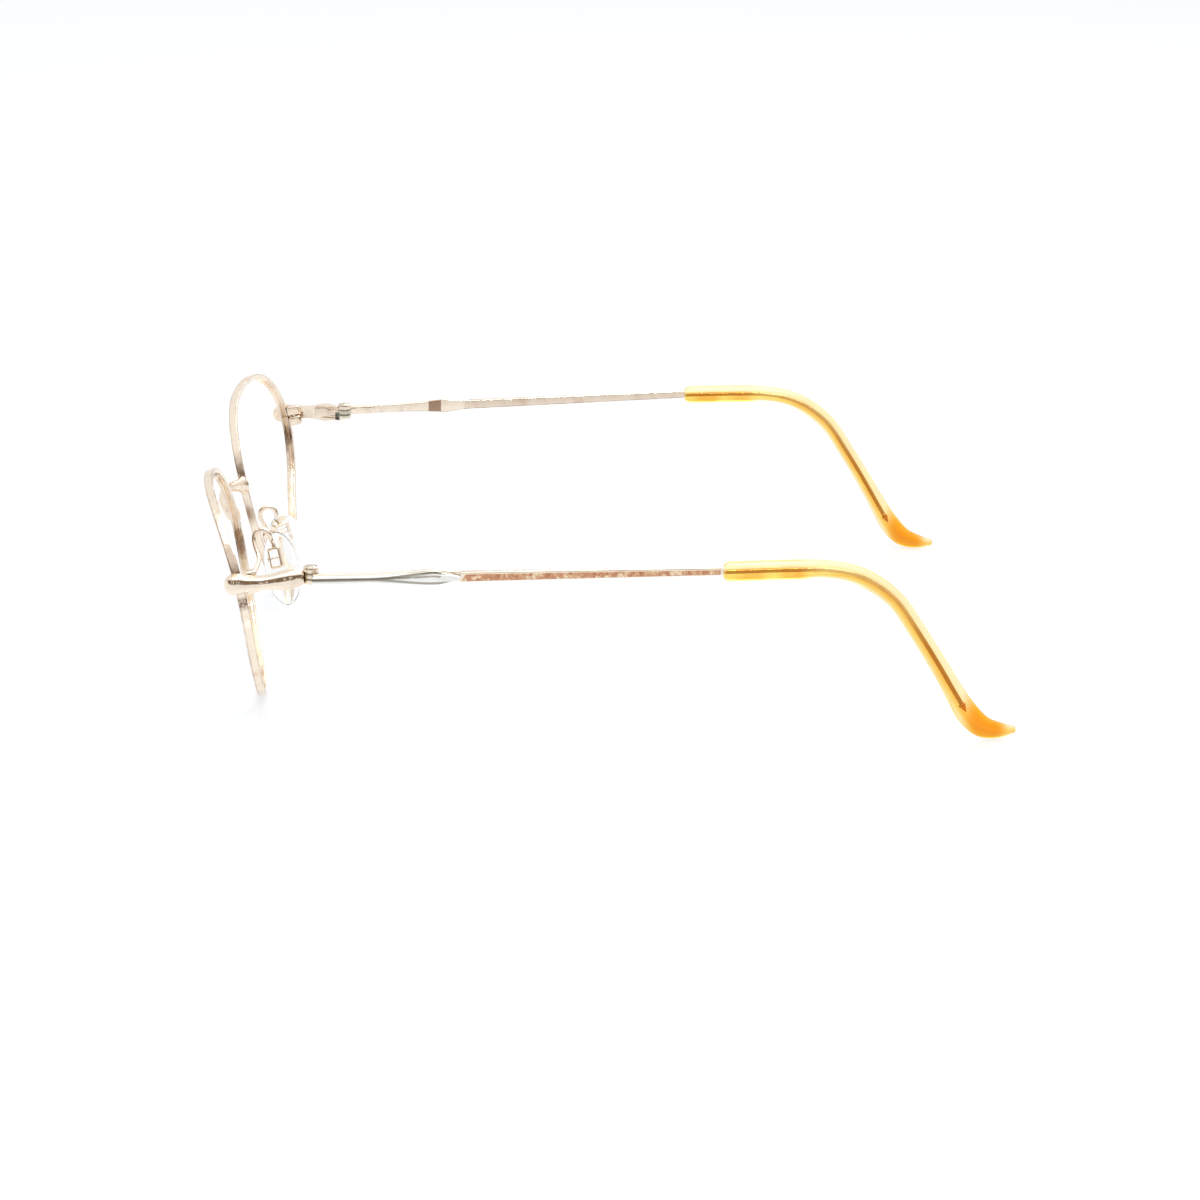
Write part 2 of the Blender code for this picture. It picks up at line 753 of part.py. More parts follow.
def add_bore(body, name, parent):
    """The hinge screw's bore, and the seat for its head in the highest knuckle."""
    bore = pin_mesh("hinge_bore", HINGE_SCREW_RADIUS + RUNNING, 4 * KNUCKLE_HEIGHT, (0, 0, 0))
    boolean(body, tool(name + "_bore", bore, parent), "DIFFERENCE")
    top = knuckle_z(2) + KNUCKLE_HEIGHT / 2
    seat = pin_mesh(
        "hinge_head_seat", HINGE_HEAD_RADIUS + RUNNING, 2 * HINGE_HEAD_HEIGHT, (0.0, 0.0, top)
    )
    boolean(body, tool(name + "_head_seat", seat, parent), "DIFFERENCE")


def add_hinge_screw():
    top = knuckle_z(2) + KNUCKLE_HEIGHT / 2
    return add_screw(
        "left_hinge_screw",
        frame,
        (HINGE_X, 0.0, HINGE_Z + top - HINGE_HEAD_HEIGHT + RUNNING),
        (0.0, 0.0, SLOT_TURN),
        (HINGE_HEAD_RADIUS, HINGE_HEAD_HEIGHT),
        HINGE_SCREW_RADIUS,
        top - HINGE_HEAD_HEIGHT + KNUCKLE_HEIGHT * 1.5 + KNUCKLE_GAP,
        steel,
    )


def add_temple_hinge():
    """The leaf on the temple with the middle knuckle."""
    leaf_middle = temple_place(LEAF_START + TEMPLE_LEAF_LENGTH / 2)
    inner = leaf_middle.x - SEAT - LEAF_THICKNESS / 2
    leaf_size = (LEAF_THICKNESS, TEMPLE_LEAF_LENGTH, TEMPLE_LEAF_HEIGHT)
    leaf = box_mesh("temple_leaf", leaf_size, (0.0, 0.0, 0.0), LEAF_THICKNESS / 4)
    leaf.transform(temple_lean().to_matrix().to_4x4())
    body = piece("left_temple_hinge", leaf, left_fold, gold)
    body.location = (inner, leaf_middle.y, leaf_middle.z)
    knuckle = pin_mesh(
        "temple_knuckle", KNUCKLE_RADIUS, KNUCKLE_HEIGHT, (0, 0, 0), sides=20, bevel=0.00006
    )
    tongue_height = KNUCKLE_HEIGHT - 2 * KNUCKLE_GAP
    tongue_length = LEAF_START + LEAF_THICKNESS
    tongue_x = TEMPLE_INSET - SEAT - LEAF_THICKNESS / 2
    tongue = box_mesh(
        "temple_tongue",
        (LEAF_THICKNESS, tongue_length, tongue_height),
        (tongue_x, tongue_length / 2 + KNUCKLE_RADIUS / 5, 0.0),
    )
    boolean(body, tool("temple_knuckle", knuckle, left_fold), "UNION")
    boolean(body, tool("temple_tongue", tongue, left_fold), "UNION")
    add_bore(body, "temple", left_fold)
    return body


# Temples


def bar_height(y):
    """The bar's height along the temple, with its flare ahead of the inlay."""
    if y <= FLARE_FOOT:
        return BAR_HEIGHT
    if y <= FLARE_Y:
        share = (y - FLARE_FOOT) / (FLARE_Y - FLARE_FOOT)
        return point_between(BAR_HEIGHT, FLARE_HEIGHT, share**FLARE_OPENING)
    if y <= OVERLAY_END:
        share = (y - FLARE_Y) / (OVERLAY_END - FLARE_Y)
        fall = math.sin(share * math.pi / 2) ** FLARE_CLOSING
        return point_between(FLARE_HEIGHT, BAR_MIDDLE_HEIGHT, fall)
    return point_between(BAR_MIDDLE_HEIGHT, BAR_END_HEIGHT, past_overlay(y))


def past_overlay(y):
    return (y - OVERLAY_END) / (TIP_START - OVERLAY_END)


def bar_outer(y):
    """The bar's thickness behind the overlay, from the step at its end to the tip."""
    return point_between(BAR_THICKNESS, BAR_END_THICKNESS, past_overlay(y))


def bar_sections():
    step = OVERLAY_END + SEAT
    behind = [TEMPLE_START, 0.006, FLARE_FOOT, 0.0125, 0.015, 0.0175, 0.019, FLARE_Y, 0.0215, 0.0235]
    past = [step + 2 * SEAT, 0.027, 0.035, 0.050, 0.062, TIP_START - SEAT]
    rows = [(y, BAR_BACK_THICKNESS) for y in (*behind, step)] + [(y, bar_outer(y)) for y in past]
    sections = []
    for y, thick in rows:
        outline = chamfered(0.0, thick, bar_height(y), BAR_CHAMFER)
        place = temple_place(y)
        sections.append([place + Vector((u, 0.0, v)) for u, v in outline])
    return sections


def wire_sections(grow):
    """The wire inside the tip with a barb at its end, or the pocket for it when grown."""
    route = smooth_route(tip_route(), 2)
    wire_end = TIP_LINE[-1][0] - WIRE_SHORT
    core = [place for place in route if place.y < wire_end]
    radius = WIRE_RADIUS + grow
    sections = []
    for i, place in enumerate(core):
        along = route[i + 1] - route[max(i - 1, 0)]
        outline = chamfered(-radius, radius, 2 * radius, radius * OCTAGON)
        sections.append(placed_section(place, along, outline))
    along = (route[len(core)] - core[-1]).normalized()
    barb = ((BARB_STEP - grow, BARB_RADIUS + grow), (BARB_LENGTH + grow, BARB_POINT + grow))
    for ahead, wide in barb:
        outline = chamfered(-wide, wide, 2 * wide, wide * OCTAGON)
        sections.append(placed_section(core[-1] + along * ahead, along, outline))
    return sections


def add_temple_bar():
    """Bar and wire in one, with a recess for the inlay in its outer face."""
    sections = [*bar_sections(), *wire_sections(0.0)]
    body = piece("left_temple_bar", loft_mesh("temple_bar", sections), left_fold, gold)
    recess = tool("inlay_recess", inlay_mesh("inlay_recess", SEAT, INLAY_DEPTH), left_fold)
    boolean(body, recess, "DIFFERENCE")
    return body


def inlay_mesh(name, grow, proud):
    """The inlay's strip, or its recess when grown, which stands proud of the outer face."""
    sections = []
    start, end = INLAY_START - grow, INLAY_END + grow
    for y in [point_between(start, end, step / 3) for step in range(4)]:
        share = (y - INLAY_START) / (INLAY_END - INLAY_START)
        high = point_between(INLAY_HEIGHT, INLAY_END_HEIGHT, share) + 2 * grow
        outer = bar_outer(y)
        outline = chamfered(outer - INLAY_DEPTH - grow, outer + proud, high, INLAY_CHAMFER)
        place = temple_place(y) - UP * INLAY_DROP
        sections.append([place + Vector((u, 0.0, v)) for u, v in outline])
    return loft_mesh(name, sections)


def add_overlay():
    """A half-round strip that flares and ends in a scooped leaf."""
    sections = []
    start = BAR_BACK_THICKNESS + SEAT
    middle = (0.004, 0.008, 0.011, 0.0135, 0.016, 0.0185, FLARE_Y, 0.0222, 0.0242)
    for y in (TEMPLE_START, *middle, OVERLAY_END):
        flare = (bar_height(y) - BAR_HEIGHT) / (FLARE_HEIGHT - BAR_HEIGHT)
        high = point_between(OVERLAY_HEIGHT, OVERLAY_FLARE_HEIGHT, flare)
        place = temple_place(y) - UP * OVERLAY_DROP
        outline = half_round(OVERLAY_THICKNESS, high)
        sections.append([place + Vector((start + u, 0.0, v)) for u, v in outline])
    body = piece("left_temple_overlay", loft_mesh("temple_overlay", sections), left_fold, silver)
    face = temple_place(OVERLAY_END).x + BAR_BACK_THICKNESS
    scoop_middle = (face + SCOOP_LEFT + SCOOP_RADIUS, SCOOP_Y, 0.0)
    scoop = pin_mesh("overlay_scoop", SCOOP_RADIUS, 4 * FLARE_HEIGHT, scoop_middle, sides=48)
    boolean(body, tool("overlay_scoop", scoop, left_fold), "DIFFERENCE")
    return body


def add_temple_tip():
    """The plastic sleeve with a pocket for the wire, deepest at its toe."""
    controls = [Vector((*place, *row[2:])) for place, row in zip(tip_route(), TIP_LINE)]
    sections = []
    steps = smooth_route(controls, 2)
    for i, step in enumerate(steps):
        along = Vector(steps[min(i + 1, len(steps) - 1)][:3]) - Vector(steps[max(i - 1, 0)][:3])
        outline = oval(step[4] / 2, step[3] / 2)
        sections.append(placed_section(Vector(step[:3]), along, outline))
    body = piece("left_temple_tip", loft_mesh("temple_tip", sections), left_fold, amber)
    pocket = loft_mesh("wire_pocket", pocket_sections())
    boolean(body, tool("wire_pocket", pocket, left_fold), "DIFFERENCE")
    return body


def pocket_sections():
    """The wire's own sections grown by the clearance, begun ahead of the sleeve."""
    sections = wire_sections(SEAT)
    lead = [point - Vector((0.0, WIRE_RADIUS, 0.0)) for point in sections[0]]
    return [lead, *sections[1:]]


# Nose pads


def pad_turn():
    """The pad's own frame: X out to its box, Y along the cross screw, leaned like the front."""
    lean = Matrix.Rotation(FACE_TILT, 3, "X")
    frontal = Matrix.Rotation(-PAD_FRONTAL, 3, "Y")
    splay = Matrix.Rotation(-PAD_SPLAY, 3, "Z")
    return (lean @ frontal @ splay).to_euler()


def rounded_ring(name, width, height, depth, corner):
    """A block along X with its four long edges rounded."""
    shape = bmesh.new()
    bmesh.ops.create_cube(shape, size=1.0)
    bmesh.ops.scale(shape, vec=(depth, width, height), verts=shape.verts)
    along = [edge for edge in shape.edges if abs(edge.verts[0].co.x - edge.verts[1].co.x) > depth / 2]
    bmesh.ops.bevel(shape, geom=along, offset=corner, segments=3, profile=0.5, affect="EDGES")
    return finished_mesh(name, shape)


def add_pad_box():
    """A rectangular ring that takes the pad's boss, with holes for its cross screw."""
    outside = rounded_ring("pad_box", BOX_WIDTH, BOX_HEIGHT, BOX_DEPTH, BOX_CORNER)
    body = piece("left_pad_box", outside, left_rock, gold)
    wall = 2 * BOX_WALL
    inside = rounded_ring(
        "box_inside", BOX_WIDTH - wall, BOX_HEIGHT - wall, BOX_DEPTH * 2, BOX_CORNER - BOX_WALL / 2
    )
    boolean(body, tool("box_inside", inside, left_rock), "DIFFERENCE")
    boolean(body, tool("box_bore", cross_bore("box_bore"), left_rock), "DIFFERENCE")
    return body


def cross_bore(name):
    across = Matrix.Rotation(math.pi / 2, 3, "X")
    return pin_mesh(name, PAD_SCREW_RADIUS + RUNNING, BOX_WIDTH * 2, (0, 0, 0), across, sides=12)


def add_pad_screw():
    """The cross screw, with its head against the front of the box."""
    return add_screw(
        "left_pad_screw",
        left_rock,
        (0.0, -BOX_WIDTH / 2 - SEAT, 0.0),
        (math.pi / 2, PAD_SLOT_TURN, 0.0),
        (PAD_HEAD_RADIUS, PAD_HEAD_HEIGHT),
        PAD_SCREW_RADIUS,
        BOX_WIDTH + SEAT,
        gold,
        sides=12,
    )


def add_nose_pad():
    """A domed oval, flatter on the side of its box, with a boss that the cross screw holds."""
    shape = bmesh.new()
    bmesh.ops.create_uvsphere(shape, u_segments=20, v_segments=10, radius=1.0)
    bmesh.ops.rotate(shape, matrix=Matrix.Rotation(math.pi / 2, 3, "Y"), verts=shape.verts)
    for vert in shape.verts:
        side = PAD_BACK if vert.co.x > 0 else PAD_DOME
        vert.co = Vector(
            (vert.co.x * side, vert.co.y * PAD_WIDTH / 2, vert.co.z * PAD_HEIGHT / 2)
        )
    middle = -(BOX_DEPTH / 2 + PAD_STANDOFF + PAD_BACK)
    bmesh.ops.translate(shape, vec=(middle, -PAD_FORWARD, -PAD_DROP), verts=shape.verts)
    body = piece("left_nose_pad", finished_mesh("nose_pad", shape), left_rock, clear)
    boss_end = BOX_DEPTH / 2
    boss_size = (boss_end - middle, BOSS_WIDTH, BOSS_HEIGHT)
    boss = box_mesh("pad_boss", boss_size, ((middle + boss_end) / 2, 0.0, 0.0), BOX_CORNER / 3)
    boolean(body, tool("pad_boss", boss, left_rock), "UNION")
    boolean(body, tool("pad_bore", cross_bore("pad_bore"), left_rock), "DIFFERENCE")
    return body


def add_pad_arm():
    """A wire from the rim that crooks over to the top of the box."""
    behind = RIM_DEPTH + ARM_RADIUS + 3 * SEAT
    foot = rim_place(ARM_FOOT_ANGLE, behind, -RIM_WALL / 2)
    leave = rim_place(ARM_LEAVE_ANGLE, behind, -RIM_WALL / 2)
    pivot = Vector((PAD_OUT, PAD_Y, PAD_Z))
    up = pad_turn().to_matrix() @ UP
    top = pivot + up * (BOX_HEIGHT / 2 + SEAT)
    points = [
        foot,
        point_between(foot, leave, 0.5) + Vector((0.0, 2 * SEAT, 0.0)),
        leave + Vector((-ARM_RADIUS, ARM_RADIUS, 0.0)) / 2,
        *(top + Vector(offset) for offset in ARM_CROOK),
        top + up * ARM_DROP - Vector((0.0, ARM_RADIUS / 2, 0.0)),
        top + up * ARM_DROP / 2,
        top,
    ]
    return wire("left_pad_arm", smooth_route(points, 2), ARM_RADIUS, frame, gold)


# Right half


def mirrored_mesh(body):
    """The finished mesh of a left piece on the other side of the face, about the same kind of origin."""
    graph = bpy.context.evaluated_depsgraph_get()
    mesh = bpy.data.meshes.new_from_object(body.evaluated_get(graph), depsgraph=graph)
    mesh.transform(body.matrix_world.to_3x3().to_4x4())
    mesh.transform(Matrix.Scale(-1.0, 4, (1.0, 0.0, 0.0)))
    shape = bmesh.new()
    shape.from_mesh(mesh)
    bmesh.ops.remove_doubles(shape, verts=shape.verts, dist=1e-7)
    bmesh.ops.reverse_faces(shape, faces=shape.faces)
    shape.to_mesh(mesh)
    shape.free()
    return mesh


def add_right_copies(left_pieces, right_fold, right_rock):
    bpy.context.view_layer.update()
    for body in left_pieces:
        name = body.name.replace("left_", "right_")
        mesh = mirrored_mesh(body)
        mesh.name = name
        other = bpy.data.objects.new(name, mesh)
        parts.objects.link(other)
        parent = frame
        if body.parent is left_fold:
            parent = right_fold
        if body in rocking:
            parent = right_rock
        place = body.matrix_world.translation.copy()
        place.x = -place.x
        other.parent = parent
        other.location = place - parent.matrix_world.translation


def centre_on_footprint():
    """Moves the whole frame so that the middle of its footprint is the origin and it stands on z = 0."""
    bpy.context.view_layer.update()
    graph = bpy.context.evaluated_depsgraph_get()
    corners = []
    for body in parts.objects:
        if body.type == "EMPTY":
            continue
        mesh = body.evaluated_get(graph).to_mesh()
        corners += [body.matrix_world @ vert.co for vert in mesh.vertices]
    low_y = min(corner.y for corner in corners)
    high_y = max(corner.y for corner in corners)
    frame.location = (0.0, -(low_y + high_y) / 2, -min(corner.z for corner in corners))


clear_scene()
parts = new_collection("eyeglass_frame")
cutters = new_collection("cutters")
gold = new_material("gold", (0.86, 0.66, 0.40), 0.22, 1.0)
silver = new_material("silver", (0.82, 0.81, 0.78), 0.2, 1.0)
steel = new_material("steel", (0.60, 0.60, 0.57), 0.3, 1.0)
marble = new_material("marble", (0.62, 0.33, 0.18), 0.35, 0.0)
amber = new_material("amber", (0.82, 0.42, 0.08), 0.15, 0.0, 0.75)
clear = new_material("clear", (0.93, 0.95, 0.92), 0.1, 0.0, 0.4)

frame = axis_at("frame_origin", None, (0.0, 0.0, 0.0))
left_lens = axis_at("left_lens", frame, LENS_CENTRE, LENS_TURN)
left_fold = axis_at("left_fold_axis", frame, (HINGE_X, 0.0, HINGE_Z))
right_fold = axis_at("right_fold_axis", frame, (-HINGE_X, 0.0, HINGE_Z))
left_rock = axis_at("left_pad_axis", frame, (PAD_OUT, PAD_Y, PAD_Z), pad_turn())
right_rock = axis_at("right_pad_axis", frame, (-PAD_OUT, PAD_Y, PAD_Z))

left_inlay = piece("left_temple_inlay", inlay_mesh("temple_inlay", 0.0, 0.0), left_fold, marble)
rocking = [add_nose_pad()]
left_pieces = [
    add_rim(),
    *add_lock(),
    add_end_piece(),
    add_front_hinge(),
    add_hinge_screw(),
    add_temple_hinge(),
    add_temple_bar(),
    add_overlay(),
    left_inlay,
    add_temple_tip(),
    add_pad_arm(),
    add_pad_box(),
    add_pad_screw(),
    *rocking,
]
add_bridge()
add_right_copies(left_pieces, right_fold, right_rock)
centre_on_footprint()
print(f"eyeglass_frame: {sum(body.type != 'EMPTY' for body in parts.objects)} pieces")
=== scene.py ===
"""Metal eyeglass frame with folding temples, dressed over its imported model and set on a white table.

X runs to the wearer's left, +Y from the rims to the temple tips, +Z up, in metres. Each piece is made
for the left half in place, and its mirror image stands for the right half.
"""

import json
import math

import bmesh
import bpy
from bpy.props import FloatProperty, FloatVectorProperty, PointerProperty
from mathutils import Color, Euler, Matrix, Vector


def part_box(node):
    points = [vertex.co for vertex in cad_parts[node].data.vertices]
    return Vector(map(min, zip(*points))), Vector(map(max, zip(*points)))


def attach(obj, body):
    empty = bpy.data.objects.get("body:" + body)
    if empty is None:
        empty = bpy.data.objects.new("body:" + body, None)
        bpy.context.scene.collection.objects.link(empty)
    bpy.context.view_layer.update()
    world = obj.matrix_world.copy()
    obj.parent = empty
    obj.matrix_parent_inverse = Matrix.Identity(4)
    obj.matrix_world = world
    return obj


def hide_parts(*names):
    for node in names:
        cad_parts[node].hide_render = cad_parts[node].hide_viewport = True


bl_info = {
    "name": "Eyeglass Frame",
    "version": (1, 0, 0),
    "blender": (4, 5, 0),
    "location": "View3D > Sidebar > Eyeglass Frame",
    "description": "Builds the rims, hinges, temples and nose pads of a metal eyeglass frame",
    "category": "Object",
}

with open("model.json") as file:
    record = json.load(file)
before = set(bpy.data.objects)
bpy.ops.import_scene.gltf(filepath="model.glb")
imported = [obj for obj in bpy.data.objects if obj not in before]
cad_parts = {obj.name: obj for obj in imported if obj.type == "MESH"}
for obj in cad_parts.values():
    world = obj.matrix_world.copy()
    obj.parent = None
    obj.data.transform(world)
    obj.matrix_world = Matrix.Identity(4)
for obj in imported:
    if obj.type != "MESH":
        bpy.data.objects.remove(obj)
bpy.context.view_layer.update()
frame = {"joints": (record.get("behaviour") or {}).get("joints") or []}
JOINTS = {joint["name"]: joint for joint in frame["joints"]}
HINGE = Vector(JOINTS["left_temple_fold"]["pos_m"])
PAD_PIVOT = Vector(JOINTS["left_pad_rock"]["pos_m"])
UP = Vector((0.0, 0.0, 1.0))
UPRIGHT = Matrix.Identity(3)
WHITE = (1.0, 1.0, 1.0)

# Between pieces that touch, and along their softened edges
SEAT = 0.00004
SOFT_EDGE = 0.00012
# How far cutters reach past what they carve
CUT = 0.005

# Rims
RIM_HALF_WIDTH = 0.02525
RIM_HALF_HEIGHT = 0.02062
RIM_SWELL = 0.0791
RIM_SWELL_TURN = math.radians(-1.2)
RIM_SLANT = 0.0265
RIM_DEPTH = 0.00158
RIM_WALL = 0.0010
GROOVE_DEPTH = 0.00045
GROOVE_WIDTH = 0.0008
LENS_CURVE_ACROSS = 0.145
LENS_CURVE_UPRIGHT = 0.435
FACE_TILT = math.radians(12.42)
FACE_WRAP = math.radians(5.57)
RIM_STEPS = 260
EDGE_LINE = 0.00034
# Strength of the painted reflection, a dark line along the rim's edges and the bar's lower inner edge
EDGE_REFLECTION = 0.75
RIM_OUTER_ROUND = 0.00022
RIM_INNER_ROUND = 0.00010
GROOVE_ROUND = 0.00004

# Rim locks
LOCK_ANGLE = math.radians(15.6)
LOCK_SLIT = 0.0003
LOCK_WIDTH = 0.0019
LOCK_REACH = 0.0025
UPPER_LOCK_HEIGHT = 0.0017
LOWER_LOCK_HEIGHT = 0.0020
LOCK_SCREW_RADIUS = 0.00045
LOCK_HEAD_RADIUS = 0.00072
LOCK_HEAD_HEIGHT = 0.0004
LOCK_HEAD_ROOM = 0.00003
LOCK_SEAT_REACH = 0.001
UPPER_LOCK_ROUND = 0.00028
LOWER_LOCK_ROUND = 0.00055

# End pieces: the bulb over the rim, then rows of y from the fold axis, height and depth
BULB_Y = -0.0132
BULB_RADIUS = 0.00175
BULB_DEPTH = 0.0026
BULB_Z = 0.0285
WAIST = (-0.0075, 0.0024, 0.0021)
BULGE = (-0.0038, 0.0034, 0.0028)
END = (-0.0012, 0.0021, 0.0021)
# Shares of the way from one row to the next, for y, height and depth
WAIST_TO_BULGE = ((0.0, 0.0, 0.0), (0.4, 0.4, 0.45), (0.75, 0.88, 0.9), (1.0, 1.0, 1.0))
BULGE_TO_END = ((0.4, 0.18, 0.2), (0.75, 0.5, 0.55), (1.0, 1.0, 1.0))
BULB_SHARES = (-0.999, -0.985, -0.95, -0.88, -0.76, -0.6, -0.4, -0.2, 0.0, 0.25, 0.5, 0.7)
NECK_PLACE = 0.45
NECK_GROWTH = 1.08
END_BEND_Y = -0.0079
END_INSET = 0.0003
END_DROP = 0.0004
# The end piece's outer side from its foot to its top, as shares of its depth and half its height
END_PROFILE = (
    (0.0, -1.0), (0.35, -0.985), (0.7, -0.9), (0.92, -0.68), (1.0, -0.35), (1.0, 0.0), (0.985, 0.25),
    (0.95, 0.52), (0.9, 0.75), (0.78, 0.9), (0.5, 0.975), (0.0, 1.0),
)

# Hinges
KNUCKLE_RADIUS = 0.00138
KNUCKLE_HEIGHT = 0.00096
KNUCKLE_GAP = 0.00004
KNUCKLE_ROOM = 0.00015
HINGE_SCREW_RADIUS = 0.0006
HINGE_HEAD_RADIUS = 0.0009
HINGE_HEAD_HEIGHT = 0.0004
HINGE_HEAD_PROUD = 0.00002
HINGE_SLOT_TURN = math.radians(35.0)
LEAF_THICKNESS = 0.00045
FRONT_LEAF = (0.0058, 0.0024)
TEMPLE_LEAF = (0.0046, 0.0016)
LEAF_START = 0.0017
LEAF_DROP = 0.0006
TONGUE_EDGE = 0.00005
HINGE_TOP = KNUCKLE_HEIGHT * 1.5 + KNUCKLE_GAP

# Temples, in place from the fold axis: the bar with its overlay and inlay
TEMPLE_START = 0.00045
TEMPLE_INSET = 0.00148
TEMPLE_START_Z = 0.02933
TIP_START = 0.0710
TIP_START_X = 0.00584
TIP_START_Z = 0.0321
BAR_HEIGHT = 0.0016
BAR_BACK_THICKNESS = 0.00075
BAR_THICKNESS = 0.0012
BAR_END_THICKNESS = 0.0010
FLARE_FOOT = 0.0100
FLARE_Y = 0.0210
FLARE_HEIGHT = 0.0027
BAR_MIDDLE_HEIGHT = 0.00177
BAR_END_HEIGHT = 0.0014
BAR_ROUND = 0.00022
BAR_FRONT_STEPS = 40
BAR_BACK_STEPS = 12
WIRE_RADIUS = 0.00036
WIRE_END = 0.1136
BARB_RADIUS = 0.00062
BARB_LENGTH = 0.0018
BARB_SHOULDER = 0.0003
BARB_POINT = 0.0001
OVERLAY_END = 0.0257
OVERLAY_THICKNESS = 0.0009
OVERLAY_HEIGHT = 0.0015
OVERLAY_FLARE_HEIGHT = 0.0027
OVERLAY_DROP = 0.00008
OVERLAY_STEPS = 60
SCOOP_Y = 0.02365
SCOOP_RADIUS = 0.0068
SCOOP_LEFT = 0.00062
OVERLAY_POINT = 0.62
# The overlay's outer side from its foot to its top, as the end piece's
OVERLAY_PROFILE = (
    (0.0, -1.0), (0.45, -0.95), (0.72, -0.78), (0.9, -0.5), (0.98, -0.22), (1.0, 0.0), (0.97, 0.25),
    (0.9, 0.5), (0.74, 0.76), (0.45, 0.94), (0.0, 1.0),
)
FLUTE_PLACE = 0.7
FLUTE_REACH = 0.28
FLUTE_DEPTH = 0.00018
# A painted reflection: the dark line along the overlay, which parts in two over the flare
SHADE_PLACE = 0.00006
SHADE_SPREAD = 0.0009
SHADE_WIDTH = (0.00040, 0.00010)
# The inlay behind the overlay
INLAY_START = 0.0264
INLAY_END = TIP_START - 0.0006
INLAY_HEIGHT = 0.00128
INLAY_END_HEIGHT = 0.00082
INLAY_DEPTH = 0.00038
INLAY_DROP = 0.00012
INLAY_SLANT = 0.0008
INLAY_STEPS = 44
INLAY_PROUD = 0.00002
INLAY_CROWN = 0.00010
INLAY_ROUND = 0.00008

# Temple tips
TOE_INWARD = 0.0056
MOUTH_ROUND = 0.0013
MOUTH_SHARE = 0.6
MOUTH_STEPS = (0.0, 0.05, 0.15, 0.3, 0.5, 0.75, 1.0)
TOE_ROUND = 0.0005
TIP_SIDES = 40
# Rows of the tip: y, middle height above the table, height across the line, and thickness
TIP_LINE = (
    (TIP_START, 0.03197, 0.0035, 0.0025),
    (0.0826, 0.0323, 0.0035, 0.0025),
    (0.0887, 0.0322, 0.00335, 0.0025),
    (0.0934, 0.0313, 0.0033, 0.0024),
    (0.0975, 0.0293, 0.0032, 0.0024),
    (0.1014, 0.02603, 0.0031, 0.0024),
    (0.1050, 0.0208, 0.0031, 0.0024),
    (0.1090, 0.01444, 0.0032, 0.0024),
    (0.1121, 0.00917, 0.0035, 0.0024),
    (0.1146, 0.0052, 0.0041, 0.0023),
    (0.1174, 0.00245, 0.0039, 0.0022),
    (0.1207, 0.00155, 0.0028, 0.0018),
    (0.1231, 0.00146, 0.0015, 0.0012),
)

# Bridge: rows of share of the way out, back from the front, down from the top, and growth
BRIDGE_HEIGHT = 0.0019
BRIDGE_THICKNESS = 0.0017
BRIDGE_RISE = 0.0010
BRIDGE_AHEAD = 0.0030
BRIDGE_PLATE_HEIGHT = 0.0034
BRIDGE_PLATE_DEPTH = 0.0021
BRIDGE_ANGLE = math.radians(168.0)
BRIDGE_SIDES = 28
PLATE_EASE = 0.55
BRIDGE_LINE = (
    (0.0, 0.0, 0.0, 0.0),
    (0.19, 0.0001, 0.0, 0.0),
    (0.37, 0.0003, 0.0001, 0.03),
    (0.55, 0.0006, 0.0003, 0.05),
    (0.71, 0.0011, 0.0005, 0.12),
    (0.84, 0.0017, 0.0007, 0.26),
    (0.93, 0.0022, 0.0009, 0.55),
)

# Nose pads
PAD_SPLAY = math.radians(25.0)
PAD_FRONTAL = math.radians(17.0)
PAD_HEIGHT = 0.0140
PAD_WIDTH = 0.0076
PAD_DOME = 0.0013
PAD_BACK = 0.0006
PAD_DROP = 0.0021
PAD_FORWARD = 0.0003
PAD_STANDOFF = 0.0005
PAD_FULLNESS = 0.85
PAD_RINGS = 24
PAD_SIDES = 56
BOX_WIDTH = 0.0027
BOX_HEIGHT = 0.0040
BOX_DEPTH = 0.0013
BOX_WALL = 0.00040
BOX_CORNER = 0.00055
PAD_SCREW_RADIUS = 0.00014
PAD_HEAD_RADIUS = 0.00058
PAD_HEAD_HEIGHT = 0.00030
PAD_SLOT_TURN = math.radians(20.0)
BOSS_WIDTH = 0.00186
BOSS_HEIGHT = 0.0028
BOSS_ROUND = 0.0002
ARM_RADIUS = 0.00046
ARM_FOOT_ANGLE = math.radians(207.0)
ARM_LEAVE_ANGLE = math.radians(200.0)
ARM_DROP = 0.0014
# The crook's line, from the top of the box
ARM_CROOK = (
    (0.0018, -0.0027, -0.0019),
    (0.0003, -0.0035, 0.0002),
    (-0.0004, -0.0038, 0.0017),
    (-0.0006, -0.0033, 0.0029),
    (-0.0006, -0.0021, 0.0033),
    (-0.0004, -0.0010, 0.0027),
)

# Dark patches of painted reflection on the rim's outer and inner walls, and solder marks, round the
# rim, as rows of strength, angle in degrees and reach
OUTER_REFLECTIONS = ((0.55, 157.0, 9.0), (0.95, 184.0, 10.0), (0.35, 29.0, 9.0))
INNER_REFLECTIONS = ((0.25, 165.0, 40.0), (0.75, 0.0, 36.0))
LOCK_SOLDER = ((1.6, math.degrees(LOCK_ANGLE) - 8.8, 4.2),)
ARM_SOLDER = ((0.7, math.degrees(ARM_FOOT_ANGLE) - 3.0, 6.0),)
